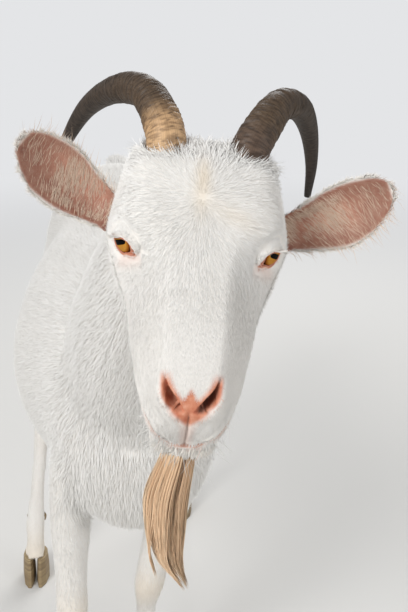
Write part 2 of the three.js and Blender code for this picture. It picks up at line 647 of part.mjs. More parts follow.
const legs = {
  foreleg_right: legStations(FORE_RIGHT, -1),
  foreleg_left: legStations(FORE_LEFT, 1),
  hindleg_right: legStations(HIND_RIGHT, -1),
  hindleg_left: legStations(HIND_LEFT, 1),
};
const hornPoints = { right: HORN_RIGHT, left: HORN_LEFT };
const sideNames = ["right", "left"];

// Head, neck and trunk as one form, with the lids, the sockets and the nostrils worked in.
let front = join([skullSolid(), neckSolid(), trunkSolid()]);
for (const name of sideNames) {
  front = front.add(solid(ballAt(eyeFrame(sideOf[name]).centre, EYE.radius + EYE.lid)));
}
for (const name of sideNames) {
  const side = sideOf[name];
  const eye = eyeFrame(side);
  front = front.subtract(almondCutter(eye));
  front = front.subtract(solid(ballAt(eye.centre, EYE.radius + GAP)));
  front = front.subtract(nostrilCutter(side));
  front = front.subtract(hornSolid(hornPoints[name], side, GAP));
  front = front.subtract(earSolid(side, 5 * GAP));
}

// One cut parts the trunk from the neck, the nape cut the neck from the head, and the line of
// the mouth and cheek the jaw from the head.
const neck = front.subtract(beyond(NAPE_CUT.point, NAPE_CUT.way, GAP)).intersect(
  beyond(CHEST_CUT.point, CHEST_CUT.way),
);
const wholeHead = front.intersect(beyond(NAPE_CUT.point, NAPE_CUT.way));
const head = wholeHead.subtract(headPrism(jawProfile(-GAP)));
const jaw = wholeHead.intersect(headPrism(jawProfile(0))).subtract(beardSolid(GAP));

// The trunk has a pocket for whatever is rooted in it.
let trunk = front.subtract(beyond(CHEST_CUT.point, CHEST_CUT.way, GAP)).subtract(tailSolid(GAP));
let udder = udderSolid().subtract(trunkSolid(GAP));
for (const stations of Object.values(legs)) {
  trunk = trunk.subtract(legSolid(stations, GAP));
  udder = udder.subtract(legSolid(stations, GAP));
}

addPiece("head", head, COAT);
addPiece("jaw", jaw, COAT);
addPiece("beard", beardSolid(), CREAM);
addPiece("neck", neck, COAT);
addPiece("trunk", trunk, COAT);
addPiece("tail", tailSolid(), COAT);
addPiece("udder", udder, PINK);
for (const name of sideNames) {
  const side = sideOf[name];
  addPiece(`ear_${name}`, earSolid(side), COAT);
  addPiece(`horn_${name}`, hornSolid(hornPoints[name], side), HORN_LOOK);
  addPiece(`eye_${name}`, solid(ballAt(eyeFrame(side).centre, EYE.radius)), EYE_LOOK);
}
for (const [name, stations] of Object.entries(legs)) {
  const foot = stations.at(-1);
  const fetlock = stations.at(-3);
  let leg = legSolid(stations);
  for (const side of [-1, 1]) {
    const place = side < 0 ? "right" : "left";
    leg = leg.subtract(dewclawSolid(fetlock, side, GAP));
    addPiece(`${name}_claw_${place}`, clawSolid(foot, side), HOOF_LOOK);
    addPiece(`${name}_dewclaw_${place}`, dewclawSolid(fetlock, side), HOOF_LOOK);
  }
  addPiece(name, leg, COAT);
}

// The origin goes to the floor below the middle of the whole body.
goat.updateMatrixWorld(true);
const box = new THREE.Box3().setFromObject(goat);
const middle = box.getCenter(vec(0, 0, 0));
for (const piece of goat.children) {
  piece.geometry.translate(-middle.x, -middle.y, -box.min.z);
}

export default goat;
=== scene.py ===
"""Horned white dairy goat, dressed: one skin over the whole body, a coat of solid tufts that
follows its lie, glossy eyes, ringed horns, hooves and a long cream beard.

Lengths in the tables are millimetres and lengths in the meshes are metres. The head has a
frame of its own: x to the goat's left, s from the nape to the nose, u up from the face.
"""

import math

import bpy
import numpy as np
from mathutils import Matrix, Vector


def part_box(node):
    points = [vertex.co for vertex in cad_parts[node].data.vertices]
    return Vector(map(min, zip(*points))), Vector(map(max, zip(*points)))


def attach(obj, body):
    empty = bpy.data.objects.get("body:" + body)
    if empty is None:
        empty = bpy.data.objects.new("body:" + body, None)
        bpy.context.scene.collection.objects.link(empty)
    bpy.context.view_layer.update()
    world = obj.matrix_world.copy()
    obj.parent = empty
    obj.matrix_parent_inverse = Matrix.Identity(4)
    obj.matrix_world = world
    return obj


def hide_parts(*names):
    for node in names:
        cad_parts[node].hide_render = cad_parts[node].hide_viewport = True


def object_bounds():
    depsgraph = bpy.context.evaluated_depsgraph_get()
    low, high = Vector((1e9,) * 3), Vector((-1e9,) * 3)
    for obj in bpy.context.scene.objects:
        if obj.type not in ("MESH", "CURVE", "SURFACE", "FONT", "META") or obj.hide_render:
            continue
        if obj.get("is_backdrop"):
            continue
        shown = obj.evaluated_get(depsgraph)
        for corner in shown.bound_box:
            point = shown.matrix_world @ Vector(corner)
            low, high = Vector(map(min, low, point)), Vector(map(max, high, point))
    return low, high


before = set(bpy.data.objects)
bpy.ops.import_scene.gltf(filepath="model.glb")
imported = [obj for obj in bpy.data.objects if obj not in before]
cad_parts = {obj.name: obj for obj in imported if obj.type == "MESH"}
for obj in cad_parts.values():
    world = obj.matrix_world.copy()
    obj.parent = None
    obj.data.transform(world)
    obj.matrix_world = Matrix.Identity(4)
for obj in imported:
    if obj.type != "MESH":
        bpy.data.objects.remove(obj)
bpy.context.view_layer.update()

bl_info = {
    "name": "Horned white goat",
    "version": (1, 0, 0),
    "blender": (4, 5, 0),
    "location": "3D View > Sidebar > Goat",
    "description": "Skin, coat, eyes, horns, hooves and beard of a standing dairy goat",
    "category": "Add Mesh",
}

MM = 0.001
SIDES = {-1: "right", 1: "left"}
LEGS = ("foreleg_right", "foreleg_left", "hindleg_right", "hindleg_left")
FLESH = ("head", "jaw", "neck", "trunk", "tail", "udder", "ear_right", "ear_left") + LEGS
PLACE = {name: i for i, name in enumerate(FLESH)}

# The turns of the head's own frame, in degrees, and the s of its origin, which hangs from the
# middle of the two eyes.
HEAD_PITCH, HEAD_ROLL, HEAD_YAW = 35, 6, -3
HEAD_MID = 95
# The eyes' s, u and radius, then in degrees how far they look outward and up and the tilt of
# their pupils.
EYE = {"s": 97, "u": 14, "radius": 16, "outward": 50, "rise": 10, "bar": 40}
# The lids' opening: its middle and how far its edge lies from it, by degrees from the noseward way.
LID_MIDDLE = (2.0, -2.0)
LID_EDGE = ((-180, 12.5), (-150, 9.4), (-120, 8.6), (-90, 8.8), (-62, 7.6), (-42, 7.0), (-22, 8.4),
            (-8, 11.4), (2, 14.6), (10, 12.8), (25, 11.2), (50, 10.0), (70, 9.0), (92, 8.0),
            (125, 7.2), (155, 8.4), (180, 11.4))
# The line between the lips: its height in front, at the side and at the corner, and two s.
MOUTH = {"front": -33.5, "side": -14, "corner": -16, "front_s": 250, "corner_s": 192}
# A nostril's slit starts at w = top, where w is s less u, and is run long.
NOSTRIL = {"top": 206, "run": 35, "off": 20.3, "bow": 12.3}
# The face's hair lies outward from a whorl in its middle at this s.
WHORL_S = 84
# The ball of flesh behind the beard's root: its middle and its half sizes in the head's frame.
CHIN_MIDDLE, CHIN_HALF = (2, 238.5, -47), (25, 18, 17)
# The ears' roots and tips and the way that they face, and the horns' middle lines from root to
# tip, in the head's frame; the left ones have the key 1.
EAR_ROOT = (57, 53, -27)
EAR_TIP = {-1: (-152, 16, 37), 1: (166, 35, 28)}
EAR_FRONT = (0.1, -0.62, 0.78)
HORN_LINE = {
    -1: ((-32, 34, 34), (-33, 20, 50), (-39, 1, 56), (-55, -35, 51), (-83, -69, 21),
         (-111, -87, -20), (-132, -88, -66), (-148, -77, -109)),
    1: ((35, 34, 34), (38, 20, 49), (47, 0, 55), (63, -33, 53), (87, -63, 26),
        (104, -73, -10), (114, -67, -48), (116, -54, -79)),
}
# The beard from root to tip: part of its length, its middle from its box's low x, and its half
# width and half depth; then the wisp's middle by part of its length.
BEARD = ((0.0, 31, 12, 9), (0.13, 25, 16, 12), (0.33, 18, 19, 14), (0.6, 17, 17, 12), (0.75, 18, 14, 9),
         (0.88, 24, 8, 6), (1.0, 36, 2, 2))
BEARD_WISP = ((0.0, 20), (0.3, 3), (0.5, 1.5), (0.75, 4), (0.93, 10))
# How far under the top of its box the beard's strands start.
BEARD_START = 20
# The coat of each node: its depth, the length and width of a tuft, and how far it stands out.
COAT = {"head": (1.7, 8, 0.95, 0.2), "jaw": (2.0, 10, 1.1, 0.4), "neck": (6, 25, 1.6, 0.8),
        "trunk": (6, 27, 1.9, 0.7), "tail": (5, 34, 1.6, 3), "udder": (0.8, 7, 1.3, 0.3),
        "ear_right": (0.8, 6.5, 0.95, 0.3), "ear_left": (0.8, 6.5, 0.95, 0.3)}
COAT.update({leg: (2.4, 13, 1.5, 0.4) for leg in LEGS})
# The way that the neck's hair lies, and the heights of the stained knees and hocks in metres.
NECK_WAY = (-0.14, 0.67, -0.73)
KNEE = {"fore": 0.268, "hind": 0.31}
# Lenses that make the skin's squares finer: the head's with its place, gain and reach in
# metres, then gain and reach in millimetres of the eyes' and the nose's.
HEAD_LENS = ((0, 140, 0), 2.6, 0.15)
EYE_LENS, NOSE_LENS, NOSE_MIDDLE = (2.5, 23), (2.4, 31), (0, 247, 0)
# Side of a tuft's patch on the baked map, and the least part that a shading normal keeps of the
# normal of its own triangle.
PATCH = 0.003
LEAN = 0.35
# The stage: each lamp's place from the middle of the goat, its width and its share of the key
# light's power; half the floor's side; the camera's place from the head's own, its heading and
# how far it looks down.
LAMPS = {"key": ((-1.9, -2.3, 2.5), 1.5, 1.0), "fill": ((2.4, -1.8, 1.4), 2.2, 0.28),
         "rim": ((0.8, 2.6, 2.6), 1.8, 0.75)}
FLOOR_HALF = 30.0
CAMERA_FROM_HEAD = (-0.052, -0.681, 0.200)
CAMERA_HEADING, CAMERA_DOWN = 4.9, 20


# ------------------------------------------------------------------ numbers
def unit(v):
    """Each row over its own length."""
    return v / np.maximum(np.linalg.norm(v, axis=-1, keepdims=True), 1e-12)


def ease(x, low, high):
    """0 below low, 1 above high and a smooth S between."""
    t = np.clip((x - low) / (high - low), 0, 1)
    return t * t * (3 - 2 * t)


def bell(d, width):
    """1 where d is nought, falling as a Gaussian of that width."""
    return np.exp(-((d / width) ** 2))


def dot(a, b):
    """Row by row scalar product."""
    return np.sum(a * b, axis=-1)


def turning(axis, degrees):
    """The matrix of a turn about one axis, 0 x, 1 y and 2 z."""
    c, s = math.cos(math.radians(degrees)), math.sin(math.radians(degrees))
    i, j = [(1, 2), (2, 0), (0, 1)][axis]
    m = np.eye(3)
    m[i, i], m[j, j], m[i, j], m[j, i] = c, c, -s, s
    return m


def middle(node):
    """The middle of a node's box."""
    low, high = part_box(node)
    return np.array((low + high) / 2)


HEAD_TURN = turning(2, HEAD_YAW) @ turning(1, HEAD_ROLL) @ turning(0, HEAD_PITCH)
EYES = {side: middle("eye_" + word) for side, word in SIDES.items()}
HEAD_AT = (EYES[-1] + EYES[1]) / 2 - HEAD_TURN @ np.array((0, HEAD_MID - EYE["s"], EYE["u"])) * MM


def head_way(x, s, u):
    """A direction given in the head frame, in the row frame."""
    return np.stack(np.broadcast_arrays(x, -np.asarray(s, float), u), -1) @ HEAD_TURN.T


def head_point(x, s, u):
    """A place given in the head frame, in metres in the row frame."""
    x, s, u = np.broadcast_arrays(*(np.asarray(k, float) for k in (x, s, u)))
    return HEAD_AT + np.stack([x, HEAD_MID - s, u], -1) @ HEAD_TURN.T * MM


def in_head(p):
    """x, s and u in millimetres of places in the row frame."""
    q = (p - HEAD_AT) @ HEAD_TURN / MM
    return q[..., 0], HEAD_MID - q[..., 1], q[..., 2]


def eye_frame(side):
    """The eye's centre, the way it looks, its up and its noseward way."""
    out, rise = math.radians(EYE["outward"]), math.radians(EYE["rise"])
    look = np.array((side * math.sin(out) * math.cos(rise), -math.cos(out) * math.cos(rise), math.sin(rise)))
    look = HEAD_TURN @ look
    up = HEAD_TURN @ np.array((0, 0.12, 1.0))
    up = unit(up - look * (up @ look))
    return EYES[side], look, up, -side * np.cross(up, look)


def ear_edge(side, p):
    """Millimetres from each place to the nearer long edge or the tip of an ear, where it
    belongs to that ear, and a large number elsewhere; with it the place's part of the ear's
    length, its way across and whether it belongs. The edges are the outermost places near
    each of seventeen stations along the ear."""
    root, length, way, face, across = ear_frame(side)
    q = p - root
    t, a = dot(q, way) / length, dot(q, across) / MM
    mine = (t > -0.05) & (t < 1.1) & (np.abs(a) < 55) & (np.abs(dot(q, face)) < 0.05)
    mine &= side * p[:, 0] > side * root[0]
    place = np.linspace(0.03, 0.99, 17)
    low, high = [], []
    for c in place:
        here = a[mine & (np.abs(t - c) < 0.04)]
        low.append(here.min() if len(here) else 0)
        high.append(here.max() if len(here) else 0)
    tip = t[mine].max() if mine.any() else 1
    gap = np.minimum(a - np.interp(t, place, low), np.interp(t, place, high) - a)
    gap = np.minimum(gap, (tip - t) * length / MM)
    return np.where(mine, gap, 99.0), t, a, mine


def ear_frame(side):
    """The ear's root, length, and its ways to the tip, to the front and across."""
    root, tip = head_point(side * EAR_ROOT[0], *EAR_ROOT[1:]), head_point(*EAR_TIP[side])
    length = np.linalg.norm(tip - root)
    way = (tip - root) / length
    face = HEAD_TURN @ np.array((side * EAR_FRONT[0], EAR_FRONT[1], EAR_FRONT[2]))
    face = unit(face - way * (face @ way))
    return root, length, way, face, np.cross(way, face)


def lid_edge(degrees):
    """The distance of the opening's edge from its middle, read between the listed angles."""
    angles, reach = np.array(LID_EDGE, float).T
    return np.interp(degrees, angles, reach)


def almond(a, b):
    """How far, in millimetres, a place lies outside the opening of the lids: its distance from
    the middle of the opening less that of the edge in the same direction."""
    x, y = a - LID_MIDDLE[0], b - LID_MIDDLE[1]
    return np.hypot(x, y) - lid_edge(np.degrees(np.arctan2(y, x)))


def round_eye(p, side):
    """Where places lie about an eye, in millimetres: noseward, up and outward of its centre,
    how far from it, and how far outside the opening of the lids."""
    centre, look, up, fore = eye_frame(side)
    d = (p - centre) / MM
    a, b = dot(d, fore), dot(d, up)
    return a, b, dot(d, look), np.linalg.norm(d, axis=1), almond(a, b)


def mouth_line(x, s):
    """The height of the line between the lips: a bow across the front that is lowest in the
    middle, then a gentle rise along the cheek to the corner."""
    aside = ease(np.abs(x), 5, 30)
    back = ease(MOUTH["front_s"] - s, 0, MOUTH["front_s"] - MOUTH["corner_s"])
    front = MOUTH["front"] + (MOUTH["side"] - MOUTH["front"]) * aside
    return front + (MOUTH["corner"] - MOUTH["side"]) * back * aside


def corner_swell(a):
    """How far the lids stand out, in millimetres, over the fleshy inner corner of the eye."""
    return 4.0 * ease(a, 8, 17)


# ------------------------------------------------------------------ meshes
def merged(name):
    """A CAD node's places and triangles, corners at one place made one."""
    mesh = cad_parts[name].data
    co = np.empty(len(mesh.vertices) * 3, np.float32)
    mesh.vertices.foreach_get("co", co)
    mesh.calc_loop_triangles()
    tri = np.empty(len(mesh.loop_triangles) * 3, np.int32)
    mesh.loop_triangles.foreach_get("vertices", tri)
    co = co.reshape(-1, 3).astype(float)
    steps = np.round(co * 2e5).astype(np.int64)
    _, first, back = np.unique(steps, axis=0, return_index=True, return_inverse=True)
    tri = back.ravel()[tri].reshape(-1, 3)
    whole = (tri[:, 0] != tri[:, 1]) & (tri[:, 1] != tri[:, 2]) & (tri[:, 0] != tri[:, 2])
    return co[first], tri[whole]


def corner_sum(values, index, count):
    """Sums of rows of values by index, for each of three columns."""
    return np.stack([np.bincount(index, values[:, k], count) for k in range(3)], -1)


def face_ways(v, faces):
    """A vector out of each face, twice its area long: the cross product of a square's diagonals
    or of two edges of a triangle."""
    p = [v[column] for column in faces.T]
    return np.cross(p[2] - p[0], p[3] - p[1]) if len(p) == 4 else np.cross(p[1] - p[0], p[2] - p[0])


def normals_of(v, faces):
    """Area-weighted normals: the ways of the faces, added up at their corners and made unit."""
    n = face_ways(v, faces)
    return unit(corner_sum(np.repeat(n, faces.shape[1], 0), faces.ravel(), len(v)))


def laid_flat(v, n):
    """Rows of v less their part along the unit rows of n, and made unit."""
    return unit(v - n * dot(v, n)[:, None])


def leaning(shade, v, faces):
    """Shading normals for every corner, leaned where needed towards the outer side of their own
    triangle, so that no visible side takes its light from behind: n + g max(0, LEAN - n.g)."""
    g = unit(face_ways(v, faces))[:, None]
    need = np.maximum(LEAN - np.sum(shade * g, -1, keepdims=True), 0)
    return unit(shade + need * g).reshape(-1, 3)


def put_mesh(name, v, faces, materials, uv=None, values=None):
    """A smooth mesh object from arrays: places, faces of one size, a map for every corner, and named
    numbers, vectors or colours for every place or vectors for every corner; those named
    "custom_normal" are the shading normals."""
    mesh = bpy.data.meshes.new(name)
    count, size = faces.shape
    mesh.vertices.add(len(v))
    mesh.vertices.foreach_set("co", np.ascontiguousarray(v, np.float32).ravel())
    mesh.loops.add(count * size)
    mesh.loops.foreach_set("vertex_index", np.ascontiguousarray(faces, np.int32).ravel())
    mesh.polygons.add(count)
    mesh.polygons.foreach_set("loop_start", np.arange(0, count * size, size, dtype=np.int32))
    mesh.polygons.foreach_set("use_smooth", np.full(count, True))
    for key, data in (values or {}).items():
        data = np.asarray(data, np.float32)
        if data.ndim == 1:
            mesh.attributes.new(key, "FLOAT", "POINT").data.foreach_set("value", data)
        elif data.shape[1] == 3:
            domain = "POINT" if len(data) == len(v) else "CORNER"
            mesh.attributes.new(key, "FLOAT_VECTOR", domain).data.foreach_set("vector", data.ravel())
        else:
            mesh.attributes.new(key, "FLOAT_COLOR", "POINT").data.foreach_set("color", data.ravel())
    for key, data in (uv or {}).items():
        layer = mesh.uv_layers.new(name=key)
        layer.data.foreach_set("uv", np.ascontiguousarray(data[faces.ravel()], np.float32).ravel())
    mesh.update(calc_edges=True)
    shade = (values or {}).get("custom_normal")
    if shade is not None and len(shade) == count * size:
        # edges are sharp where the corners at both their ends are shaded in several ways
        corner = faces.ravel()
        mean = unit(corner_sum(shade, corner, len(v)))
        split = np.bincount(corner, dot(shade, mean[corner]) < 0.6, len(v)) > 0
        ends = np.empty(2 * len(mesh.edges), np.int32)
        mesh.edges.foreach_get("vertices", ends)
        sharp = split[ends.reshape(-1, 2)].all(1)
        mesh.attributes.new("sharp_edge", "BOOLEAN", "EDGE").data.foreach_set("value", sharp)
    mesh.validate()
    piece = bpy.data.objects.new(name, mesh)
    bpy.context.scene.collection.objects.link(piece)
    for material in materials:
        mesh.materials.append(material)
    return piece


def grid_faces(rows, columns):
    """Quads of a grid of rows by columns, closed round its columns."""
    r = np.arange(rows - 1)[:, None]
    c = np.arange(columns)[None, :]
    a, b = r * columns + c, r * columns + (c + 1) % columns
    return np.stack([a, b, b + columns, a + columns], -1).reshape(-1, 4)


def capped(rings):
    """Places and triangles, facing out, of a tube through rings (rows, columns, 3), its two
    ends closed on their middles."""
    rows, columns, _ = rings.shape
    quads = grid_faces(rows, columns)
    tri = np.concatenate([quads[:, [0, 1, 2]], quads[:, [0, 2, 3]]])
    v = np.concatenate([rings.reshape(-1, 3), rings[0].mean(0)[None], rings[-1].mean(0)[None]])
    c = np.arange(columns)
    n = (c + 1) % columns
    low, high = rows * columns, rows * columns + 1
    last = (rows - 1) * columns
    start = np.stack([n, c, np.full(columns, low)], -1)
    end = np.stack([last + c, last + n, np.full(columns, high)], -1)
    tri = np.concatenate([tri, start, end])
    if np.sum((v[tri[:, 0]] - v.mean(0)) * face_ways(v, tri)) < 0:
        tri = tri[:, ::-1]
    return v, tri


def spikes(line, half, top):
    """Many three-sided spikes at once, from their middle lines (spike, step, 3). At every step
    but the last stand two corners, half to both sides, and one at top; the last step is the
    tip. Walls join the steps and a lid closes the root. With the places and triangles come one
    spike's triangles, its number of corners and the part of the way that each corner is on."""
    count, rings, _ = half.shape
    body = line[:, :-1]
    ring = np.stack([body - half, body + half, body + top], 2)
    v = np.concatenate([ring.reshape(count, -1, 3), line[:, -1:]], 1)
    one = []
    for r in range(rings - 1):
        for k in range(3):
            a, b = 3 * r + k, 3 * r + (k + 1) % 3
            one += [(a, b, b + 3), (a, b + 3, a + 3)]
    last = 3 * (rings - 1)
    one += [(last + k, last + (k + 1) % 3, last + 3) for k in range(3)]
    one = np.array(one + [(2, 1, 0)])
    per = v.shape[1]
    faces = (np.arange(count)[:, None, None] * per + one[None]).reshape(-1, 3)
    t = np.concatenate([np.repeat(np.linspace(0, 1, rings + 1)[:-1], 3), [1.0]])
    return v.reshape(-1, 3), faces, one, per, t


def patch_map(roots, per, t):
    """The baked map of many spikes of per corners each: a small patch at each root's own
    place, across by the corner's number and up by its part of the way to the tip."""
    count = len(roots)
    return np.repeat(roots, per, 0) + PATCH * np.stack(
        [np.tile(np.linspace(-0.5, 0.5, per), count), np.tile(t - 0.5, count)], -1)


# ------------------------------------------------------------------ materials
def colour(code):
    """An sRGB hex colour as linear red, green, blue and 1."""
    parts = [int(code[i:i + 2], 16) / 255 for i in (0, 2, 4)]
    return tuple(c / 12.92 if c <= 0.04045 else ((c + 0.055) / 1.055) ** 2.4 for c in parts) + (1.0,)


def add_node(tree, kind, settings=None, inputs=None, links=None):
    """A node of a kind with its settings, input values and links into it (input: output)."""
    made = tree.nodes.new(kind)
    for key, value in (settings or {}).items():
        setattr(made, key, value)
    for key, value in (inputs or {}).items():
        made.inputs[key].default_value = value
    for key, source in (links or {}).items():
        tree.links.new(source, made.inputs[key])
    return made


def new_material(name, roughness, specular=0.5, **more):
    """A node material with a Principled shader, its tree and the shader."""
    material = bpy.data.materials.new(name)
    material.use_nodes = True
    tree = material.node_tree
    shader = tree.nodes["Principled BSDF"]
    shader.inputs["Roughness"].default_value = roughness
    shader.inputs["Specular IOR Level"].default_value = specular
    for key, value in more.items():
        shader.inputs[key.replace("_", " ")].default_value = value
    return material, tree, shader


def ramp(tree, source, stops):
    """A colour ramp over places and hex colours."""
    made = add_node(tree, "ShaderNodeValToRGB", links={"Fac": source})
    while len(made.color_ramp.elements) < len(stops):
        made.color_ramp.elements.new(0.5)
    for element, (place, code) in zip(made.color_ramp.elements, stops):
        element.position, element.color = place, colour(code)
    return made.outputs["Color"]


def mixed(tree, share, a, b, blend="MIX"):
    """Two colours mixed; share, a and b are outputs or plain values."""
    made = add_node(tree, "ShaderNodeMix", {"data_type": "RGBA", "blend_type": blend})
    for slot, value in ((0, share), (6, a), (7, b)):
        if hasattr(value, "is_linked"):
            tree.links.new(value, made.inputs[slot])
        else:
            made.inputs[slot].default_value = value
    return made.outputs[2]


def attribute(tree, name):
    """A mesh attribute's number."""
    return add_node(tree, "ShaderNodeAttribute", {"attribute_name": name}).outputs["Fac"]


def object_places(tree):
    """Places in the object's own metres."""
    return add_node(tree, "ShaderNodeTexCoord").outputs["Object"]


def noise(tree, places, scale, detail):
    """Noise over places, some one metre over scale in size."""
    made = add_node(tree, "ShaderNodeTexNoise", inputs={"Scale": scale, "Detail": detail},
                    links={"Vector": places})
    return made.outputs["Fac"]


def stretched(tree, places, scale):
    """Places times a scale for each way."""
    made = add_node(tree, "ShaderNodeMapping", inputs={"Scale": scale}, links={"Vector": places})
    return made.outputs["Vector"]


def add_bump(tree, shader, height, strength, distance):
    """A bump on a shader from a height, whose full range is distance in metres."""
    made = add_node(tree, "ShaderNodeBump", inputs={"Strength": strength, "Distance": distance},
                    links={"Height": height})
    tree.links.new(made.outputs["Normal"], shader.inputs["Normal"])


def marked_colour(tree, under):
    """The colour of hair and skin from the markings kept on each place: red is cream, green
    is bare pink skin and blue is a darker brown-pink, the inner ear's own colour and painted
    shade in the hollows and creases of nostrils, mouth, lids and the ear's base."""
    goat = bpy.context.scene.goat_coat
    marks = add_node(tree, "ShaderNodeVertexColor", {"layer_name": "marks"})
    split = add_node(tree, "ShaderNodeSeparateColor", links={"Color": marks.outputs["Color"]})
    white = ramp(tree, attribute(tree, "tone"), ((0.0, under[0]), (0.5, under[1]), (1.0, under[2])))
    cream = mixed(tree, split.outputs["Red"], white, tuple(goat.cream) + (1.0,))
    # blotches of blood colour some 6 mm across
    blotch = noise(tree, object_places(tree), 160.0, 3.0)
    pink = ramp(tree, blotch, ((0.3, "BA6C50"), (0.5, "CA8466"), (0.7, "DAA086")))
    bare = mixed(tree, split.outputs["Green"], cream, pink)
    # blue mixes in 5E3E33: the inner ear's brown-pink and painted shade in hollows and creases
    return mixed(tree, split.outputs["Blue"], bare, colour("5E3E33"))


def skin_material():
    """Goat hide: thin pale skin under short hair, rather matt, pink on nose and lips; pores
    some 2 mm across show as a low bump."""
    material, tree, shader = new_material("goat_hide", 0.6, 0.3)
    tree.links.new(marked_colour(tree, ("DCD7D0", "E6E2DC", "EEEBE7")), shader.inputs["Base Color"])
    add_bump(tree, shader, noise(tree, object_places(tree), 520.0, 3.0), 0.25, 0.0006)
    return material


def coat_material():
    """White goat hair, without gloss, since its shading normals lean away from its faces."""
    material, tree, shader = new_material("white_hair", 0.6, 0.0)
    tree.links.new(marked_colour(tree, ("D8D5D0", "EAE8E4", "F5F4F2")), shader.inputs["Base Color"])
    return material


def find_material(name, maker):
    """The material of that name, made the first time that it is asked for."""
    return bpy.data.materials.get(name) or maker()


# ------------------------------------------------------------------ skin
store = {}


def soup(name, levels):
    """A node's triangles as loose corners, swollen by 0.35 mm so that the clearance to its
    neighbours closes, then split level by level. A new corner is the middle of an edge moved
    half way onto the tangent planes of the edge's two ends, which rounds the flat faces."""
    v, tri = merged(name)
    mesh = bpy.data.meshes.new("corner")
    mesh.from_pydata(v.tolist(), [], tri.tolist())
    mesh.set_sharp_from_angle(angle=math.radians(48))
    n = np.empty(len(tri) * 9, np.float32)
    mesh.corner_normals.foreach_get("vector", n)
    bpy.data.meshes.remove(mesh)
    p = (v + normals_of(v, tri) * 0.35 * MM)[tri]
    n = n.reshape(-1, 3, 3).astype(float)
    for _ in range(levels):
        q, m = np.roll(p, -1, 1), np.roll(n, -1, 1)
        mid = (p + q) / 2
        lift = dot(mid - p, n)[..., None] * n + dot(mid - q, m)[..., None] * m
        mid, way = mid - 0.25 * lift, unit(n + m)
        a, b, c = mid[:, 0], mid[:, 1], mid[:, 2]
        x, y, z = way[:, 0], way[:, 1], way[:, 2]
        parts = (p[:, 0], a, c), (a, p[:, 1], b), (c, b, p[:, 2]), (a, b, c)
        ways = (n[:, 0], x, z), (x, n[:, 1], y), (z, y, n[:, 2]), (x, y, z)
        p, n = (np.concatenate([np.stack(k, 1) for k in pieces]) for pieces in (parts, ways))
    return p


def lens(gain, inner, outer):
    """Distance from a centre, and the same distance stretched by gain within inner and less
    and less out to outer, as two lists to read between."""
    r = np.linspace(0, 4, 16001)
    rate = 1 + (gain - 1) * (1 - ease(r, inner, outer))
    return r, np.concatenate([[0], np.cumsum((rate[1:] + rate[:-1]) / 2 * np.diff(r))])


def through(p, centre, table, back=False):
    """Places moved along their rays from a centre as a table of distances says."""
    d = p - centre
    r = np.maximum(np.linalg.norm(d, axis=-1), 1e-9)
    x, y = (table[1], table[0]) if back else table
    return centre + d * (np.interp(r, x, y) / r)[..., None]


def neighbours(faces):
    """Every edge of the faces once, as two lists of places."""
    e = np.stack([faces, np.roll(faces, -1, 1)], -1).reshape(-1, 2)
    e = np.unique(np.sort(e, 1), axis=0)
    return e[:, 0], e[:, 1]


def averaged(values, edges, times, share=0.5, back=0.0):
    """Values drawn by a share towards the mean of their neighbours, and pushed back if asked,
    so that the whole doesn't shrink."""
    i, j = edges
    flat = values.reshape(len(values), -1).astype(float)
    count = np.bincount(i, minlength=len(flat)) + np.bincount(j, minlength=len(flat))
    count = np.maximum(count, 1)[:, None]
    for _ in range(times):
        for amount in (share, back) if back else (share,):
            total = np.stack([np.bincount(i, col[j], len(flat)) + np.bincount(j, col[i], len(flat))
                              for col in flat.T], -1)
            flat = flat + amount * (total / count - flat)
    return flat.reshape(values.shape)


def nearest_node(p):
    """For each place, the flesh node whose corner lies nearest, from squared distances of all
    pairs taken a few thousand rows at a time."""
    corners = [merged(name)[0] for name in FLESH]
    owner = np.repeat(np.arange(len(FLESH)), [len(c) for c in corners])
    all_corners = np.concatenate(corners).astype(np.float32)
    size = (all_corners ** 2).sum(1)
    found = np.empty(len(p), np.int32)
    for start in range(0, len(p), 4000):
        rows = p[start:start + 4000].astype(np.float32)
        found[start:start + 4000] = owner[np.argmin(size - 2 * rows @ all_corners.T, 1)]
    return found


